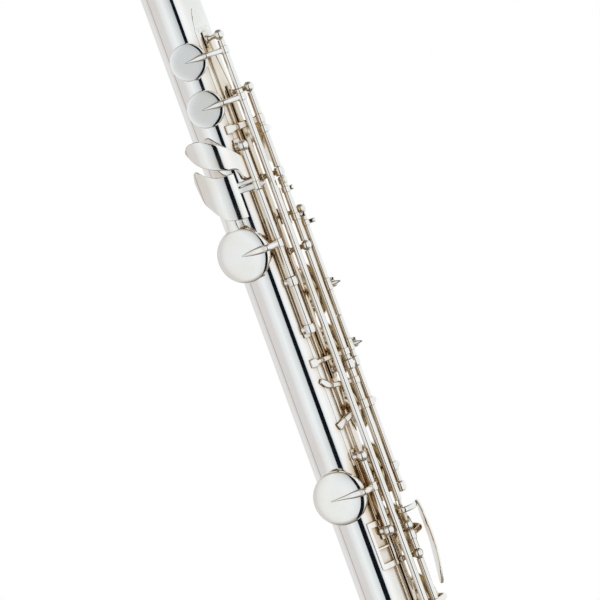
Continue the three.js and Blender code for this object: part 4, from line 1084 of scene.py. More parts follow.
def holed(outer: Shape, inner: Shape, holes: Sequence[Cup],
          round_walls: Sequence[float], name: str) -> bpy.types.Mesh:
    """Draws the tone holes out of a tube.

    Args:
        outer: The solid outside.
        inner: What the bore takes away.
        holes: Station, angle and radius of each tone hole.
        round_walls: Radii of the tube's own round walls.
        name: Name of the mesh.

    Returns:
        The mesh.
    """
    chimneys, drills = Shape(), Shape()
    walls = [Cylinder(Vector(), Vector((1, 0, 0)), radius) for radius in round_walls]
    for x, deg, radius in holes:
        outside = radius + TUBE.chimney_wall
        sides = Sides.CUP.value
        lip = 0.22
        chimneys.spun([(CHIMNEY_START, 0), (CHIMNEY_START, outside), (TUBE.rim - lip, outside),
                       (TUBE.rim, outside - lip), (TUBE.rim, 0)], around(x, deg), sides, soft=0)
        drills.spun([(CHIMNEY_START - 1, 0), (CHIMNEY_START - 1, radius),
                     (TUBE.rim + 1, radius), (TUBE.rim + 1, 0)],
                    around(x, deg), sides, soft=0)
        for size in (outside, radius):
            walls.append(Cylinder(Vector((x, 0, 0)), polar(1, deg), size))
    return carved(outer, [chimneys] if holes else [], [inner, drills] if holes else [inner], walls, name)


CHIMNEY_START = 8.0


def oval(half_x: float, half_y: float, z0: float, z1: float, x: float) -> Shape:
    """Builds an upright prism with an oval outline.

    Args:
        half_x: Half length along the tube.
        half_y: Half width across it.
        z0: Lowest height.
        z1: Highest height.
        x: Station of its middle.

    Returns:
        The prism.
    """
    shape = Shape().spun([(z0, 0), (z0, 1), (z1, 1), (z1, 0)], Matrix.Identity(4), Sides.CUP.value, soft=0)
    bmesh.ops.scale(shape.bm, vec=(half_x, half_y, 1), verts=shape.bm.verts)
    bmesh.ops.translate(shape.bm, vec=(x, 0, 0), verts=shape.bm.verts)
    return shape


@dataclass
class HeadJoint:
    """The head joint with its lip plate, stopper and crown."""

    start: float = 20
    taper_end: float = 150
    end: float = 280.7
    taper: float = 0.8
    embouchure: float = 66
    hole_half_x: float = 6.4
    hole_half_y: float = 5.4
    riser_wall: float = 1.6
    plate_inner: float = 17.2
    plate_thickness: float = 1.1
    plate_half_x: float = 26
    plate_half_arc: float = 22.4
    crown_length: float = 19.7
    crown_flat: float = 8.5
    cork: tuple = (24.3, 41.3)
    drill: tuple = (4, 20)
    riser: tuple = (11, 17.05)
    stopper_face: float = 43

    def tube(self) -> None:
        """Builds the head tube with its blow hole."""
        bore = TUBE.bore
        outer = Shape().turned([(self.start, 0), (self.start, TUBE.radius - self.taper),
                                (self.taper_end, TUBE.radius), (self.end, TUBE.radius), (self.end, 0)],
                               sides=Sides.TUBE.value, soft=0)
        inner = Shape().turned([(self.start - 1, 0), (self.start - 1, bore - self.taper),
                                (self.taper_end, bore),
                                (self.end + 1, bore), (self.end + 1, 0)], sides=Sides.TUBE.value, soft=0)
        hole = oval(self.hole_half_x, self.hole_half_y, *self.drill, self.embouchure)
        mesh = carved(outer, [], [inner, hole],
                      [Cylinder(Vector(), Vector((1, 0, 0)), TUBE.radius)], "head_tube")
        place_piece(mesh, "head_tube_plated", "head_joint", Finish.TUBE, ["head_tube"], weighted=False)

    def lip(self) -> None:
        """Builds the lip plate and the riser under it."""
        rings = 14
        sides = 96
        plate = bmesh.new()
        outside = self.plate_inner + self.plate_thickness
        loops = []
        for ring in range(rings + 1):
            share = ring / rings
            loop = []
            for k in range(sides):
                turn = FULL_TURN * k / sides
                half_x = self.hole_half_x + (self.plate_half_x - self.hole_half_x) * share
                half_w = self.hole_half_y + (self.plate_half_arc - self.hole_half_y) * share
                wide = half_w * math.sin(turn)
                x = self.embouchure + half_x * math.cos(turn) * (1 - 0.05 * share * math.sin(turn) ** 2)
                radius = outside - 0.5 * share ** 3
                loop.append(plate.verts.new((x, radius * math.sin(wide / outside),
                                             radius * math.cos(wide / outside))))
            loops.append(loop)
        for loop in loops:
            for a, b in zip(loop, loop[1:] + loop[:1]):
                plate.edges.new((a, b))
        for lower, upper in zip(loops, loops[1:]):
            edges = [plate.edges.get((a, b)) for loop in (lower, upper)
                     for a, b in zip(loop, loop[1:] + loop[:1])]
            bmesh.ops.bridge_loops(plate, edges=edges)
        bmesh.ops.recalc_face_normals(plate, faces=plate.faces)
        if sum((face.normal.z for face in plate.faces)) < 0:
            bmesh.ops.reverse_faces(plate, faces=plate.faces)
        bmesh.ops.solidify(plate, geom=plate.faces[:], thickness=self.plate_thickness)
        bmesh.ops.recalc_face_normals(plate, faces=plate.faces)
        place_piece(Shape().close(plate, 0.3).mesh("lip_plate"), "lip_plate_plated",
                    "head_joint", Finish.TUBE,
                    ["lip_plate"])
        base = oval(self.hole_half_x + self.riser_wall, self.hole_half_y + self.riser_wall,
                    *self.riser, self.embouchure)
        hole = oval(self.hole_half_x, self.hole_half_y, *self.drill, self.embouchure)
        core = Shape().rod(self.embouchure - 20, self.embouchure + 20, TUBE.radius + 0.02,
                           AXIS, Sides.TUBE.value, 0)
        mesh = carved(base, [], [hole, core], [], "riser")
        place_piece(mesh, "riser_plated", "head_joint", Finish.TUBE, ["riser"])

    def crown(self) -> None:
        """Builds the crown and the stopper behind it."""
        end = self.crown_length
        profile = [(end, 2.4), (5, 2.4), (5, 0), (0, 0), (0, self.crown_flat - 0.8)]
        profile += arc((0.9, self.crown_flat - 0.6), 0.9, 160, 100, 3)
        profile += [(2.2, 10.3), (3.6, 11.5), (5.6, 12.1), (9, 12.35), (end - 4.4, 12.35)]
        profile += arc((end - 3.3, 12.45), 0.75, 180, 0, 8)
        profile += [(end - 2.2, 12.4), (end - 1.9, 13.0), (end, 13.1)]
        shape = Shape().turned(profile, sides=Sides.TUBE.value, soft=0.12, loop=True)
        place_piece(shape.mesh("crown"), "crown_plated", "crown", Finish.TUBE, ["head_crown"])
        cork = Shape().sleeve(self.cork[0], self.cork[1], 11.9, 2.3, AXIS, soft=0.4)
        place_piece(cork.mesh("cork"), "stopper_cork_disc", "head_joint", Finish.CORK, ["stopper_cork"])
        face = self.stopper_face
        screw = [(6.5, 0), (6.5, 2)]
        for k in range(14):
            screw += [(7 + k, 2.0), (7.35 + k, 1.7), (7.65 + k, 1.7)]
        screw += [(22.6, 2), (22.6, 9.3), (24, 9.3), (24, 2),
                  (face - 1.4, 2), (face - 1.4, 11.6), (face, 11.6), (face, 0)]
        shape = Shape().turned(screw, sides=Sides.ROD.value, soft=0)
        place_piece(shape.mesh("screw"), "stopper_screw_plated", "head_joint", Finish.TUBE,
                    ["stopper_screw"])

    def build(self) -> None:
        """Builds every piece of the head joint."""
        self.tube()
        self.lip()
        self.crown()


@dataclass
class RibPlan:
    """One rib, its posts and the node that it stands for."""

    node: str
    deg: float
    x0: float
    x1: float
    posts: tuple
    body: str = "body_joint"
    extras: Optional[Callable[[Shape], None]] = None

    def build(self) -> None:
        """Builds the rib with its posts."""
        shape = Shape()
        POST.strip(shape, self.x0, self.x1, self.deg)
        for x, line, ball, closed in self.posts:
            POST.head(shape, x, line, ball, closed)
            POST.stand(shape, x, line, self.deg)
        if self.extras:
            self.extras(shape)
        place_piece(shape.mesh(self.node), self.node + "_soldered", self.body, Finish.KEYS, [self.node])


def double_head(shape: Shape) -> None:
    """Adds the second head of the middle post, which carries the left-hand line."""
    POST.head(shape, 486.3, Lines.LEFT, False, share=0.84)
    shape.between(Lines.MAIN.at(486.3), Lines.LEFT.at(486.3), [(0, 1.3), (1, 1.3)])


def saddle(shape: Shape) -> None:
    """Adds the soldered frame beside the lever of the G sharp key, with its cross bar."""
    inner, outer = 13.62, 14.95
    rows = ((561, 564, 75, 113), (582, 585, 75, 113), (573.9, 575.1, 78, 110))
    for x0, x1, deg0, deg1 in rows:
        POST.strip(shape, x0, x1, (deg0 + deg1) / 2, deg1 - deg0, inner, outer)
    for deg in (78, 110):
        POST.strip(shape, 561.8, 584.2, deg, 6, inner, outer)


def thumb_spacer(shape: Shape) -> None:
    """Adds the fixed sleeve between the last two thumb posts."""
    shape.sleeve(441.2, 461.7, 1.6, 1.15, Lines.THUMB.centre)


@dataclass
class BodyJoint:
    """The body joint: socket, tube, ribs, posts, rods and springs."""

    start: float = 281
    end: float = 715
    socket: tuple = (241, 289)
    socket_inner: float = 13.6
    socket_outer: float = 14.65
    ring: float = 0.6
    top_holes: tuple = (448.1, 478.7, 507, 540.2, 572.2, 608.8, 645.5, 685)
    holes: tuple = (
        (326, TUBE.trill_deg, TUBE.trill_hole), (349.4, TUBE.trill_deg, TUBE.trill_hole),
        (367.2, 0, TUBE.c_hole), (420.2, TUBE.thumb_deg, TUBE.large_hole),
        (544.6, TUBE.g_sharp_deg, TUBE.large_hole),
    )
    ribs: tuple = (
        RibPlan("left_hand_rib", 65, 342.1, 490.3, (
            (346.1, Lines.MAIN, True, -1), (388.65, Lines.MAIN, False, 0), (426, Lines.MAIN, True, 0),
            (486.3, Lines.MAIN, False, 0)), extras=double_head),
        RibPlan("left_first_post", 46, 405.1, 413.1, ((409.1, Lines.LEFT, True, -1),)),
        RibPlan("left_last_post", 46, 546.6, 554.6, ((550.6, Lines.LEFT, False, 1),)),
        RibPlan("right_hand_rib", 65, 564.8, 699, (
            (568.8, Lines.MAIN, True, 0), (583.4, Lines.MAIN, True, 0), (661, Lines.MAIN, True, 0),
            (697, Lines.MAIN, True, 1), (671.5, Lines.TRILL, True, 1))),
        RibPlan("thumb_rib", 95, 367.2, 467.4, (
            (371.2, Lines.THUMB, True, -1), (439.5, Lines.THUMB, False, 0), (463.4, Lines.THUMB, False, 1)),
            extras=thumb_spacer),
        RibPlan("g_sharp_rib", 86, 525, 571, ((529, Lines.G_SHARP, True, -1), (567, Lines.G_SHARP, True, 1)),
                extras=saddle),
        RibPlan("trill_post", 77.6, 314.5, 322.5, ((318.5, Lines.TRILL, True, -1),)),
    )
    steels: tuple = (
        ("c_key_steel", 344, 425.85, Lines.MAIN), ("left_hand_steel", 407, 552.7, Lines.LEFT),
        ("right_hand_steel", 568.95, 699.1, Lines.MAIN), ("thumb_steel", 369.1, 465.5, Lines.THUMB),
        ("g_sharp_steel", 526.9, 569.1, Lines.G_SHARP),
    )
    springs: tuple = (
        (320, 344, 17.2, 84, 19.0, 79), (348, 376, 19.6, 62, 20.4, 59.5), (389, 414, 19.6, 62, 20.4, 59.5),
        (424, 396, 19.6, 62, 20.4, 59.5), (428, 452, 19.6, 62, 20.4, 59.5), (484, 456, 20.2, 52.5, 20.8, 53),
        (488, 516, 20.2, 52.5, 20.8, 53), (567, 540, 20.2, 52.5, 20.8, 53), (582, 573, 19.6, 62, 20.4, 59.5),
        (585, 606, 19.6, 62, 20.4, 59.5), (659, 634, 19.6, 62, 20.4, 59.5), (663, 682, 19.6, 62, 20.4, 59.5),
        (373, 398, 15.9, 84, 17.2, 82), (438, 412, 15.9, 84, 17.2, 82), (465, 477, 15.9, 86, 16.6, 83),
        (531, 556, 15.9, 80, 17.2, 78), (411, 436, 20.4, 50, 22.6, 50), (549, 520, 20.4, 50, 22.6, 50),
    )
    spring_radius: float = 0.28
    strap_rows: tuple = (
        (302.5, 85.2, 85.8), (304.5, 80, 89), (308, 72, 92.6), (314, 63, 95), (322, 58.5, 96), (420, 58, 96),
        (524, 58, 96), (529, 58, 92), (532, 58, 82.5), (560, 58, 82), (697, 58, 82), (699, 60, 80),
    )

    strap_outer: float = 13.74
    strap_inner: float = 13.2
    strap_edge: float = 0.16
    strap_steps: int = 16

    def tube(self) -> None:
        """Builds the tube with its drawn tone holes, and the socket."""
        holes = [(x, 0, TUBE.large_hole) for x in self.top_holes] + list(self.holes)
        outer = Shape().rod(self.start, self.end, TUBE.radius, AXIS, Sides.TUBE.value, 0)
        inner = Shape().rod(self.start - 1, self.end + 1, TUBE.bore, AXIS, Sides.TUBE.value, 0)
        mesh = holed(outer, inner, holes, (TUBE.radius, TUBE.bore), "body_tube")
        place_piece(mesh, "body_tube_plated", "body_joint", Finish.TUBE, ["body_tube"], weighted=False)
        x0, x1 = self.socket
        outside, ring = self.socket_outer, self.ring
        profile = [(x0, self.socket_inner)]
        profile += arc((x0 + 0.75, outside - 0.15), 0.75, 180, 90, 4)
        profile += [(x0 + 2.2, outside + ring), (x0 + 3, outside)]
        profile += [(x0 + 9, outside + 0.1), ((x0 + x1) / 2, outside + 0.25), (x1 - 9, outside + 0.1)]
        profile += [(x1 - 3, outside), (x1 - 2.2, outside + ring)]
        profile += arc((x1 - 0.75, outside - 0.15), 0.75, 90, 0, 4)
        profile += [(x1, self.socket_inner)]
        shape = Shape().turned(profile, sides=Sides.TUBE.value, soft=0.1, loop=True)
        place_piece(shape.mesh("socket"), "barrel_socket_plated", "body_joint", Finish.TUBE,
                    ["barrel_socket"])

    def rods(self) -> None:
        """Builds the steel rods and the needle springs."""
        for node, x0, x1, line in self.steels:
            shape = Shape().rod(x0, x1, PIVOT, line.centre, soft=0.15)
            place_piece(shape.mesh(node), node + "_drawn", "body_joint", Finish.STEEL, [node])
        shape = Shape()
        for x0, x1, radius0, deg0, radius1, deg1 in self.springs:
            shape.between(polar(radius0, deg0, x0), polar(radius1, deg1, x1),
                          [(0, self.spring_radius), (0.7, self.spring_radius * 0.85),
                           (1, self.spring_radius * 0.6)])
        place_piece(shape.mesh("springs"), "needle_springs", "body_joint", Finish.SPRING)
        self.strap()

    def strap(self) -> None:
        """Builds the thin strap that the ribs stand on, with its pointed end."""
        shape = Shape()
        rows = smooth_path(self.strap_rows, 4)
        sections = []
        for x, deg0, deg1 in rows:
            degs = [deg0 + (deg1 - deg0) * k / self.strap_steps for k in range(self.strap_steps + 1)]
            outer = []
            for k, deg in enumerate(degs):
                drop = self.strap_edge if k in (0, self.strap_steps) else 0
                outer.append(polar(self.strap_outer - drop, deg, x))
            sections.append(outer + [polar(self.strap_inner, deg, x) for deg in reversed(degs)])
        shape.lofted(sections)
        place_piece(shape.mesh("strap"), "rib_strap_soldered", "body_joint", Finish.KEYS)

    def build(self) -> None:
        """Builds every piece of the body joint."""
        self.tube()
        for rib in self.ribs:
            rib.build()
        self.rods()


# Keys


@dataclass
class KeyPlan:
    """One key: its hinge tube, cups, arms and extra pieces, and how far it stands open."""

    node: str
    body: str
    line: RodLine
    x0: float
    x1: float
    cups: tuple = ()
    turn: float = 0
    radius: float = 1.75
    root_x: Optional[float] = None
    reach: float = 0
    arch: float = 0
    tube: Optional[Callable[[Shape], None]] = None
    extras: Sequence[Callable[[Shape], None]] = ()
    lugs: Sequence[Lug] = ()
    bore: float = 1.15

    def build(self) -> None:
        """Builds the key and its pads."""
        shape = Shape()
        if self.tube:
            self.tube(shape)
        else:
            shape.sleeve(self.x0, self.x1, self.radius, self.bore, self.line.centre)
        for x, deg, hole in self.cups:
            FORM.cup(shape, x, deg, hole)
            ARM.add(shape, x, deg, hole, self.line, self.radius, self.root_x, self.reach, self.arch)
        for extra in self.extras:
            extra(shape)
        for lug in self.lugs:
            lug.add(shape, self.line, self.radius)
        shape.turn(self.line, self.turn)
        place_piece(shape.mesh(self.node), self.node + "_plated", self.body, Finish.KEYS, [self.node])
        for k, (x, deg, hole) in enumerate(self.cups):
            pad = self.node.replace("_key", "") + (f"_pad_{k + 1}" if len(self.cups) > 1 else "_pad")
            skin = FORM.pad(x, deg, hole).turn(self.line, self.turn)
            place_piece(skin.mesh(pad), pad + "_skin", self.body, Finish.PAD, [pad])


def stepped(line: RodLine, profile: Profile) -> Callable[[Shape], None]:
    """Makes a builder of a key's own rod with thin and thick stretches.

    Args:
        line: The rod line.
        profile: Points of [x, radius].

    Returns:
        The builder.
    """
    return lambda shape: shape.turned(profile, line.centre, Sides.ROD.value, 0.12)


@dataclass(frozen=True)
class Paddle:
    """A plate that curls under the tube between two edges, from its root to its tip."""

    near: tuple
    far: tuple
    start: float
    end: float
    root: tuple = ()
    radius: float = 17.0
    drop: float = 5.2
    thickness: float = 1.6
    step: float = 1.5
    across: int = 12
    bevel: float = 0.5

    @staticmethod
    def edge(rows: Sequence[tuple[float, float]], deg: float) -> float:
        """Finds where an edge runs at an angle.

        Args:
            rows: Points of [angle, x].
            deg: The angle.

        Returns:
            The station.
        """
        path = smooth_path(rows, 8)
        for (deg0, x0), (deg1, x1) in zip(path, path[1:]):
            if deg <= deg1:
                share = (deg - deg0) / (deg1 - deg0)
                return x0 + (x1 - x0) * max(share, 0)
        return path[-1][1]

    def add(self, shape: Shape) -> None:
        """Adds the plate where it stands at rest.

        Args:
            shape: The key's shape, at rest.
        """
        steps = round((self.end - self.start) / self.step)
        sections = [self.outline(low, high, Vector((0, y, z)), deg) for y, z, deg, low, high in self.root]
        for k in range(steps + 1):
            deg = self.start + (self.end - self.start) * k / steps
            low, high = self.edge(self.near, deg), self.edge(self.far, deg)
            if high - low < 0.8:
                low, high = (low + high) / 2 - 0.4, (low + high) / 2 + 0.4
            place = polar(self.radius, deg) - Vector((0, 0, self.drop))
            sections.append(self.outline(low, high, place, deg))
        shape.lofted(sections)

    def outline(self, low: float, high: float, place: Vector, deg: float) -> list:
        """Draws the plate's cross section between its two edges.

        Args:
            low: Station of the near edge.
            high: Station of the far edge.
            place: Where its outer face lies.
            deg: The angle that its outer face looks to.

        Returns:
            The outline's points.
        """
        size = min((high - low) / 6, 1)
        rows = [(low + 0.05, -0.75), (low, -0.4), (low + 0.25 * size, -0.08)]
        inner, outer = low + 0.6 * size, high - self.bevel * size
        rows += [(inner + (outer - inner) * j / self.across, 0) for j in range(self.across + 1)]
        for turn in (25, 50, 75, 90):
            angle = math.radians(turn)
            rows.append((outer + self.bevel * size * math.sin(angle),
                         self.bevel * 0.8 * (math.cos(angle) - 1)))
        rows += [(high - 0.1, -self.thickness)]
        rows += [(outer + (inner - outer) * j / self.across, -self.thickness)
                 for j in range(self.across + 1)]
        return [place + polar(lift, deg, x) for x, lift in rows]


LEAF = Paddle(
    near=((90, 373.1), (100.8, 370.2), (114.5, 367.1), (126, 365.4), (137.7, 363.4), (148, 362.3),
          (159.3, 362.2),
          (168.4, 362.6), (175.9, 364.6), (177.4, 365.8)),
    far=((90, 386.8), (94.6, 382.9), (98.8, 381.1), (105.8, 380.4), (112.6, 380.2), (120.3, 379.4),
         (133.8, 378.1),
         (143.8, 376.7), (154.5, 374.8), (164.4, 372.3), (171.3, 369.6), (175.9, 367), (177.4, 366)),
    start=91, end=177.4, bevel=1.2,
    root=((-18.15, -1.4, 104, 376.6, 387), (-17.75, -2.8, 102, 375.6, 387),
          (-17.35, -4.2, 97, 374.4, 386.9)))
PLATE = Paddle(
    near=((108, 382.1), (120, 381.9), (132, 381.7), (144, 380.4), (157, 378.1), (166, 376), (172, 375.6),
          (176.5, 376.6),
          (180.4, 380)),
    far=((108, 404), (118, 403.9), (129, 403.4), (142, 402.2), (155, 398.4), (164.6, 394.8), (173.3, 391.8),
         (176.5, 388.4), (180.4, 382)),
    start=108, end=180.4)


def plate_and_neck(shape: Shape) -> None:
    """Adds the plate of the lower thumb key, shut, and its neck to the cup."""
    plate = Shape()
    PLATE.add(plate)
    plate.turn(Lines.THUMB, TUBE.open_deg)
    shape.absorb(plate.bm)
    turn = Matrix.Rotation(math.radians(TUBE.thumb_deg), 4, "X")
    neck = Shape().bar([[396, 0, 16.8, 6.4, 1.3], [401, 0, 17.4, 5.6, 1.3],
                        [405, 0, 17.8, 5.6, 1.3], [407.6, 0, 17.9, 6.4, 1.2]],
                       crown=0.3, up=Vector((0, 0, 1)))
    bmesh.ops.transform(neck.bm, matrix=turn, verts=neck.bm.verts)
    shape.absorb(neck.bm)


def c_touch(shape: Shape) -> None:
    """Adds the round touch of the first-finger key and its bar."""
    x = 378.2
    shape.spun([(18.85, 0), (18.85, 4.7), (19.5, 5.4), (20.5, 5.5), (21.0, 5.1),
                (20.75, 4.2), (20.5, 2), (20.45, 0)],
               around(x, 0), Sides.SMALL_CUP.value, soft=0.1)
    shape.bar([[367.2, 0, 19.6, 3, 1.8], [371, 0, 19.9, 2.8, 1.8], [375, 0, 19.8, 3.2, 1.5]], crown=0.4,
              up=Vector((0, 0, 1)))


TRILL_REACH = 14
TRILL_ROOT = 7.55
TRILL_THICKNESS = 1.8
TOUCH_PATH = ((0, 72.6, 2.7), (0.94, 62, 2.5), (1.04, 50.5, 2.5), (1.02, 37, 2.6), (0.93, 27, 3.6),
              (0.88, 22.5, 6.6), (0.8, 12, 8), (0.76, 7.5, 6.2))


def trill_touch(x: float) -> Callable[[Shape], None]:
    """Makes the builder of a trill key's lever and touch.

    Args:
        x: The lever's station.

    Returns:
        The builder.
    """
    stops = [[x, *polar(TUBE.radius + (TRILL_REACH * share if share else TRILL_ROOT), deg)[1:], width,
              TRILL_THICKNESS]
             for share, deg, width in TOUCH_PATH]
    return lambda shape: shape.bar(stops, crown=0.35)


LEVER_PATH = ((0, 86), (0.228, 69.9), (0.321, 64.2), (0.499, 64.1), (0.722, 63.5), (0.86, 55), (0.85, 45))
LEVER_X = 560.7
LEVER_REACH = 17.6
LEVER_ROOT = 6.05
LEVER_WIDTH = 2.9
LEVER_THICKNESS = 1.7
ARCH_SIDES = 24
ARCH_START = 559.3
ARCH_LENGTH = 43
ARCH_REACH = 27.2
ARCH_DEG = 21
ARCH_HALF_WIDTH = 13
ARCH_TILT = -69
ARCH_MIDDLE = 1.3
ARCH_HALF_THICKNESS = 0.8
ARCH_CORNER = 0.5
ARCH_EDGE = 0.7
ARCH_ROWS = ((0, -0.95, -0.75, 0.955), (0.14, -1, -0.4, 0.985), (0.46, -1, -0.25, 1),
             (0.74, -0.93, -0.16, 0.97),
             (0.93, -0.78, -0.25, 0.93), (1, -0.62, -0.4, 0.91))


def g_sharp_lever(shape: Shape) -> None:
    """Adds the lever of the G sharp key and its long arched touch."""
    stops = [[LEVER_X, *polar(TUBE.radius + (LEVER_REACH * share if share else LEVER_ROOT), deg)[1:],
              LEVER_WIDTH, LEVER_THICKNESS]
             for share, deg in LEVER_PATH]
    shape.bar(stops, crown=0.3)
    sections = []
    for along, outside, inside, out in smooth_path(ARCH_ROWS, 8):
        x = ARCH_START + ARCH_LENGTH * along
        outline = []
        for j in range(ARCH_SIDES):
            turn = FULL_TURN * (j + 0.5) / ARCH_SIDES
            share = 0.5 - math.copysign(0.5 * abs(math.cos(turn)) ** ARCH_CORNER, math.cos(turn))
            swell = ARCH_HALF_THICKNESS * abs(math.sin(turn)) ** ARCH_EDGE
            lift = ARCH_MIDDLE + math.copysign(swell, math.sin(turn))
            up = polar(ARCH_REACH * out + lift, ARCH_DEG)
            across = polar(ARCH_HALF_WIDTH * (outside + (inside - outside) * share), ARCH_TILT)
            outline.append(Vector((x, up.y + across.y, up.z + across.z)))
        sections.append(outline)
    shape.lofted(sections)


LARGE = TUBE.large_hole
OPEN = TUBE.open_deg

KEYS = (
    KeyPlan("b_flat_key", "b_flat", Lines.LEFT, 411.6, 462.8, ((448.1, 0, LARGE),), OPEN, 1.6, arch=4.2,
            lugs=(Lug(416, 24, 4.6, 2.2), Lug(447.6, 36, 6.4, 2.2, tip=0.25), Lug(445.4, 33, 3.6, 1.6))),
    KeyPlan("a_key", "a", Lines.LEFT, 463.2, 483.8, ((478.7, 0, LARGE),), OPEN, 1.6, arch=4.2,
            lugs=(Lug(478.2, 36, 6.4, 2.2, tip=0.25), Lug(476, 33, 3.6, 1.6))),
    KeyPlan("g_key", "g", Lines.LEFT, 488.8, 548.1, ((507, 0, LARGE), (540.2, 0, LARGE)),
            OPEN, 1.6, arch=2.2),
    KeyPlan("c_key", "c", Lines.MAIN, 348.6, 386.15, ((367.2, 0, TUBE.c_hole),), OPEN,
            extras=(c_touch,), lugs=(Lug(362, 195, 12.3, 3.6, tip=1.0, overlay=(
                (0, 80, 3.6), (0, 92, 3.6), (0, 97, 4.4), (0, 106, 4.4)), shut_turn=-OPEN),)),
    KeyPlan("f_sharp_key", "f_sharp", Lines.MAIN, 571.3, 580.9, ((572.2, 0, LARGE),), OPEN,
            root_x=573.8, arch=1.0),
    KeyPlan("f_key", "f", Lines.MAIN, 585.9, 627, ((608.8, 0, LARGE),), OPEN, arch=1.0),
    KeyPlan("e_key", "e", Lines.MAIN, 627.4, 658.5, ((645.5, 0, LARGE),), OPEN, arch=1.0),
    KeyPlan("d_key", "d", Lines.MAIN, 663.5, 694.5, ((685, 0, LARGE),), OPEN, arch=1.0),
    KeyPlan("f_bridge", "f_bridge", Lines.MAIN, 0, 0, tube=stepped(Lines.MAIN, (
        (426.15, 0), (426.15, PIVOT), (428.5, PIVOT), (428.5, HINGE), (483.8, HINGE),
        (483.8, PIVOT), (488.8, PIVOT),
        (488.8, HINGE), (556, HINGE), (556, PIVOT), (568.65, PIVOT), (568.65, 0))),
        lugs=(Lug(480, 203, 12.0, 2.6, tip=1.0,
                  overlay=((0, 80, 2.6), (0, 93, 2.6), (0, 97, 4.2), (0, 107, 4.2))),
              Lug(494.5, 203, 12.0, 2.6, slant=-1.5, tip=1.0,
                  overlay=((-1.5, 80, 2.6), (-2.75, 90, 3.4), (-5.5, 101, 2.6))),
              Lug(506.5, 203, 12.0, 3.4, slant=4.5, tip=1.0, overlay=((4.5, 80, 3.4), (6.3, 98, 3.8))))),
    KeyPlan("thumb_bridge", "thumb_bridge", Lines.MAIN, 391.15, 423.5,
            lugs=(Lug(393.15, 115, 5.5, 2.6), Lug(397.7, 34, 3.4, 2.2, tip=1.1), Lug(411.5, 40, 4.5, 2.6))),
    KeyPlan("thumb_b_flat_lever", "thumb_b_flat", Lines.THUMB, 373.7, 393, radius=1.6,
            extras=(LEAF.add,), lugs=(Lug(388.1, 218.6, 9.5, 2.2, collar=False),
                                            Lug(391, 218.6, 9.5, 3.2, tip=0.8),
                                            Lug(391, 72, 4.6, 3.2, tip=0.5, collar=False))),
    KeyPlan("thumb_b_key", "thumb_b", Lines.THUMB, 393.4, 437, ((420.2, TUBE.thumb_deg, LARGE),), -OPEN, 1.6,
            extras=(plate_and_neck,)),
    KeyPlan("high_trill_key", "high_trill", Lines.TRILL, 0, 0, ((326, TUBE.trill_deg, TUBE.trill_hole),), 0,
            reach=1.6, tube=stepped(Lines.TRILL, (
                (316.4, 0), (316.4, PIVOT), (321, PIVOT), (321, HINGE), (345.3, HINGE), (345.3, CORE),
                (640.7, CORE),
                (640.7, HINGE), (669, HINGE), (669, PIVOT), (673.6, PIVOT), (673.6, 0))),
            extras=(trill_touch(665.3),)),
    KeyPlan("low_trill_key", "low_trill", Lines.TRILL, 345.7, 640.3,
            ((349.4, TUBE.trill_deg, TUBE.trill_hole),), 0,
            reach=1.6, bore=1.2, extras=(trill_touch(627.2),)),
    KeyPlan("g_sharp_key", "g_sharp", Lines.G_SHARP, 531.5, 564.5,
            ((544.6, TUBE.g_sharp_deg, LARGE),), 0, 1.6,
            reach=4.0, extras=(g_sharp_lever,)),
)


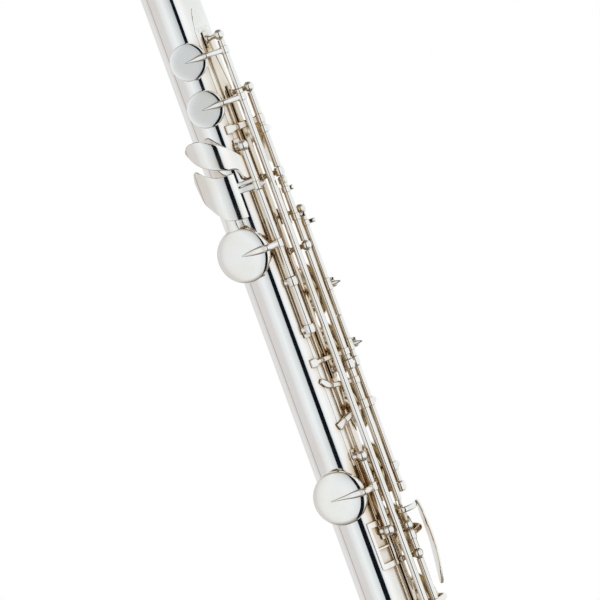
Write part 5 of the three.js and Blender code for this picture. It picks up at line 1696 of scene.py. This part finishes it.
@dataclass
class FootJoint:
    """The foot joint with its tube, rib, keys and rollers."""

    start: float = 699.5
    end: float = 869
    holes: tuple = ((727, TUBE.foot_deg, LARGE), (771.7, TUBE.near_deg, LARGE),
                    (819.1, TUBE.near_deg, LARGE))
    touch: float = 23.95
    roller: tuple = (747, 756)

    def tube(self) -> None:
        """Builds the foot tube with its socket and end ring."""
        outer = Shape().turned([
            (699.5, 0), (699.5, 15.0), (700, 15.25), (701.9, 15.25), (702.5, 14.65), (715.6, 14.65),
            (716.8, 14.3),
            (716.8, 13.45), (865.6, 13.45), (866, 14.0), (866.6, 14.35), (868.6, 14.35),
            (869, 14.1), (869, 0)],
            sides=Sides.TUBE.value, soft=0)
        inner = Shape().turned([(698, 0), (698, 13.75), (715.3, 13.75), (715.3, 13), (870, 13), (870, 0)],
                               sides=Sides.TUBE.value, soft=0)
        mesh = holed(outer, inner, self.holes, (13.45, 13, 14.65, 15.25, 14.35), "foot_tube")
        place_piece(mesh, "foot_tube_plated", "foot_joint", Finish.TUBE, ["foot_tube"], weighted=False)

    def fittings(self) -> None:
        """Builds the foot's rib, posts and steel."""
        RibPlan("foot_rib", 6, 717.5, 840, (
            (719.5, Lines.FOOT, True, -1), (738, Lines.FOOT, True, 0), (836, Lines.FOOT, True, 1)),
            "foot_joint").build()
        steel = Shape().rod(717.4, 737.85, PIVOT, Lines.FOOT.centre, soft=0.15)
        place_piece(steel.mesh("foot_steel"), "foot_steel_drawn", "foot_joint", Finish.STEEL, ["foot_steel"])

    def d_sharp_touch(self, shape: Shape) -> None:
        """Adds the little finger's plate on the D sharp key."""
        rows = ((0, 4, 2), (20, 6, 2), (26, 14, 1.6), (38, 15, 1.5), (48, 14, 1.5), (56, 8, 1.2))
        stops = [[727, *(polar(self.touch, deg) if deg else Lines.FOOT.centre)[1:], width, thickness]
                 for deg, width, thickness in rows]
        shape.bar(stops, crown=0.25)

    def fork(self, arm_x: float, deg: float) -> Callable[[Shape], None]:
        """Makes the builder of an arm with the fork that carries a roller.

        Args:
            arm_x: The arm's station.
            deg: The roller's angle.

        Returns:
            The builder.
        """
        x0, x1 = self.roller[0] - 1.9, self.roller[1] + 1.9

        def add(shape: Shape) -> None:
            """Adds the arm and its fork."""
            below = polar(self.touch - 3.8, deg)
            top = polar(self.touch, deg)
            root = Lines.FOOT.centre
            shape.bar([[arm_x, root.y, root.z, 2.4, 2], [arm_x, below.y, below.z, 2.4, 1.6]], crown=0.3)
            shape.rod(min(arm_x, x0), x1, 0.9, below)
            for x in (x0 + 0.8, x1 - 0.8):
                shape.between(Vector((x, below.y, below.z)), Vector((x, top.y, top.z)), [(0, 0.9), (1, 0.9)])
            shape.rod(x0, x1, 0.6, top)

        return add

    def keys(self) -> None:
        """Builds the foot's keys and rollers."""
        KeyPlan("d_sharp_key", "d_sharp", Lines.FOOT, 722, 735.5, ((727, TUBE.foot_deg, LARGE),),
                extras=(self.d_sharp_touch,)).build()
        KeyPlan("c_sharp_key", "c_sharp", Lines.FOOT, 745.2, 776.8, ((771.7, TUBE.near_deg, LARGE),), -OPEN,
                bore=1.2, extras=(self.fork(747.2, 27),)).build()
        KeyPlan("low_c_key", "low_c", Lines.FOOT, 0, 0, ((819.1, TUBE.near_deg, LARGE),), -OPEN,
                tube=stepped(Lines.FOOT, (
                    (738.15, 0), (738.15, PIVOT), (740.5, PIVOT), (740.5, HINGE), (744.8, HINGE), (744.8, CORE),
                    (777.2, CORE), (777.2, HINGE), (833.5, HINGE), (833.5, PIVOT), (838.1, PIVOT), (838.1, 0))),
                extras=(self.fork(742.75, 41),)).build()
        for name, deg in (("c_sharp", 27), ("low_c", 41)):
            x0, x1 = self.roller
            centre = polar(self.touch, deg)
            profile = [(x0, 0.95), (x0, 1.7), (x0 + 0.4, 2.0), (x0 + 3, 2.1), ((x0 + x1) / 2, 2.15),
                       (x1 - 3, 2.1),
                       (x1 - 0.4, 2.0), (x1, 1.7), (x1, 0.95)]
            shape = Shape().turned(profile, centre, loop=True).turn(Lines.FOOT, -OPEN)
            place_piece(shape.mesh(name + "_roller"), name + "_roller_plated", name + "_roller", Finish.KEYS,
                        [name + "_roller"])

    def build(self) -> None:
        """Builds every piece of the foot joint."""
        self.tube()
        self.fittings()
        self.keys()


# The studio


COOL = (0.92, 0.97, 1.0)
PLAIN = (1.0, 1.0, 1.0)
WARM = (1.0, 0.97, 0.96)


@dataclass(frozen=True)
class Panel:
    """One panel of the tent: its angle round the tube, how bright it is and its tint."""

    deg: float
    level: float
    tint: tuple

    def stop(self) -> tuple:
        """Gives the panel's stop in the ramp that goes round the tube."""
        return self.deg / 360, (*(self.level * part for part in self.tint), 1)


@dataclass(frozen=True)
class Studio:
    """A white tent: its world, a dark card, a floor, a lamp and the camera."""

    camera_mm: tuple = (369.2, -1023.8, -623.1)
    camera_turn: tuple = (1.77292, -1.29155, 0.64)
    lens: float = 150.12
    slot_distance: float = 0.6
    tent: tuple = (
        Panel(0, 1.0, COOL), Panel(75, 0.95, COOL), Panel(95, 1.0, PLAIN), Panel(106, 1.0, COOL),
        Panel(118, 0.6, COOL), Panel(131, 0.6, COOL), Panel(138, 0.75, COOL), Panel(160, 0.95, COOL),
        Panel(180, 0.8, PLAIN), Panel(190, 0.7, PLAIN), Panel(210, 0.7, WARM), Panel(230, 0.7, WARM),
        Panel(250, 0.8, PLAIN), Panel(270, 0.75, PLAIN), Panel(300, 0.85, PLAIN), Panel(310, 1.0, COOL),
        Panel(360, 1.0, COOL),
    )
    ends: tuple = ((0.55, (1, 1, 1, 1)), (0.72, (0.63, 0.6, 0.57, 1)), (0.85, (0.31, 0.275, 0.235, 1)),
                   (1.0, (0.2, 0.165, 0.13, 1)))
    floor_z: float = -0.0256
    floor_x: float = 0.4345
    floor_half: float = 6
    floor_colour: tuple = (0.9, 0.9, 0.9, 1)
    white: tuple = (1.0, 1.0, 1.0, 1)
    sensor: float = 36
    lamp_size: tuple = (1.6, PIVOT)
    lamp_energy: float = 4.0
    lamp_place: tuple = (0.4, -0.5, 1.4)
    lamp_tilt: float = 20

    def world(self) -> None:
        """Sets the tent's colours, white to the camera."""
        world = bpy.data.worlds.new("tent")
        bpy.context.scene.world = world
        world.use_nodes = True
        desk = Desk(world.node_tree)
        way = desk.node("ShaderNodeTexCoord", output="Generated")
        parts = desk.node("ShaderNodeSeparateXYZ", {}, {"Vector": way})
        height = Wire(desk, parts.socket.node.outputs[2])
        side = Wire(desk, parts.socket.node.outputs[1])
        share = (side * -1).arctan2(height) / FULL_TURN
        wrapped = desk.node("ShaderNodeMath", {"operation": "FRACT"}, {0: share})
        stops = [panel.stop() for panel in self.tent]
        tent = desk.node("ShaderNodeValToRGB", {"stops": stops}, {"Fac": wrapped})
        along = Wire(desk, parts.socket.node.outputs[0])
        end_share = desk.node("ShaderNodeMath", {"operation": "ABSOLUTE"}, {0: along})
        ends = desk.node("ShaderNodeValToRGB", {"stops": self.ends}, {"Fac": end_share})
        tent = desk.node("ShaderNodeMix", {"data_type": "RGBA", "blend_type": "MULTIPLY"},
                         {0: 1.0, 6: tent, 7: ends}, output=2)
        path = desk.node("ShaderNodeLightPath")
        seen = desk.node("ShaderNodeMix", {"data_type": "RGBA"}, {0: path, 6: tent, 7: self.white}, output=2)
        shader = desk.node("ShaderNodeBackground", {}, {"Color": seen, "Strength": 1.0})
        desk.node("ShaderNodeOutputWorld", {}, {"Surface": shader})

    def glow(self, name: str, colour: tuple) -> bpy.types.Material:
        """Makes the material of a card, of its own light alone.

        Args:
            name: Name of the material.
            colour: The card's colour.

        Returns:
            The material.
        """
        material = bpy.data.materials.new(name)
        material.use_nodes = True
        desk = Desk(material.node_tree)
        shader = desk.node("ShaderNodeEmission", {}, {"Color": colour, "Strength": 1.0})
        desk.node("ShaderNodeOutputMaterial", {}, {"Surface": shader})
        return material

    def card(self, name: str, rows: Sequence[tuple[float, float, float]], colour: tuple) -> None:
        """Hangs a long card beside the flute that only its reflections show.

        Args:
            name: Name of the card.
            rows: Station in metres, angle round the tube and width in metres, from end to end.
            colour: Its colour.
        """
        card = bmesh.new()
        edges = []
        for x, deg, width in rows:
            middle = polar(self.slot_distance, deg)
            across = polar(1, deg + 90)
            pair = [card.verts.new((x, *(middle + across * width * half)[1:])) for half in (-0.5, 0.5)]
            edges.append(card.edges.new(pair))
        for first, last in zip(edges, edges[1:]):
            bmesh.ops.bridge_loops(card, edges=[first, last])
        mesh = bpy.data.meshes.new(name)
        card.to_mesh(mesh)
        card.free()
        mesh.materials.append(self.glow(name, colour))
        made = bpy.data.objects.new(name, mesh)
        bpy.context.scene.collection.objects.link(made)
        made.visible_camera = False
        made.visible_diffuse = False
        made.visible_shadow = False
        made.visible_transmission = False

    def floor(self) -> None:
        """Lays a pale floor that is seen from above only."""
        sheet = bmesh.new()
        bmesh.ops.create_grid(sheet, x_segments=1, y_segments=1, size=self.floor_half)
        bmesh.ops.translate(sheet, vec=(self.floor_x, 0, self.floor_z), verts=sheet.verts)
        mesh = bpy.data.meshes.new("floor")
        sheet.to_mesh(mesh)
        sheet.free()
        material = bpy.data.materials.new("floor")
        material.use_nodes = True
        desk = Desk(material.node_tree)
        pale = desk.node("ShaderNodeBsdfDiffuse", {}, {"Color": self.floor_colour})
        clear = desk.node("ShaderNodeBsdfTransparent")
        behind = desk.node("ShaderNodeNewGeometry", output="Backfacing")
        shader = desk.node("ShaderNodeMixShader", {}, {0: behind, 1: pale, 2: clear})
        desk.node("ShaderNodeOutputMaterial", {}, {"Surface": shader})
        mesh.materials.append(material)
        floor = bpy.data.objects.new("floor", mesh)
        bpy.context.scene.collection.objects.link(floor)
        floor.visible_glossy = False
        floor.visible_shadow = False

    def camera(self) -> None:
        """Sets the camera where the photograph was taken from."""
        data = bpy.data.cameras.new("camera")
        data.lens = self.lens
        data.sensor_width = self.sensor
        data.dof.use_dof = False
        camera = bpy.data.objects.new("camera", data)
        bpy.context.scene.collection.objects.link(camera)
        turn = Vector(self.camera_turn)
        camera.rotation_mode = "QUATERNION"
        camera.rotation_quaternion = Quaternion(turn.normalized(), turn.length)
        camera.location = Vector(self.camera_mm) * MM
        bpy.context.scene.camera = camera

    def lamp(self) -> None:
        """Hangs a wide soft lamp over the keys."""
        data = bpy.data.lights.new("lamp", "AREA")
        data.shape = "RECTANGLE"
        data.size, data.size_y = self.lamp_size
        data.energy = self.lamp_energy
        lamp = bpy.data.objects.new("lamp", data)
        bpy.context.scene.collection.objects.link(lamp)
        lamp.location = self.lamp_place
        lamp.rotation_euler = (math.radians(self.lamp_tilt), 0, 0)
        lamp.visible_glossy = False

    def build(self) -> None:
        """Sets up the studio."""
        scene = bpy.context.scene
        scene.view_settings.view_transform = "Standard"
        self.world()
        rows = [(-0.6, 115.0, 0.12), (0.273, 119.2, 0.135),
                (0.44, 122.3, 0.155), (0.715, 124.7, 0.215), (1.5, 131.0, 0.35)]
        self.card("dark_slot", rows, (0.004, 0.006, 0.01, 1))
        self.card("seam", [(-0.6, 224, 0.045), (1.5, 224, 0.045)], (0.42, 0.38, 0.4, 1))
        self.floor()
        self.lamp()
        self.camera()


def main() -> None:
    """Builds the flute and its studio in order."""
    logging.basicConfig(level=logging.INFO, format="%(message)s")
    Studio().build()
    HeadJoint().build()
    BodyJoint().build()
    for key in KEYS:
        key.build()
    FootJoint().build()


if __name__ == "__main__":
    main()
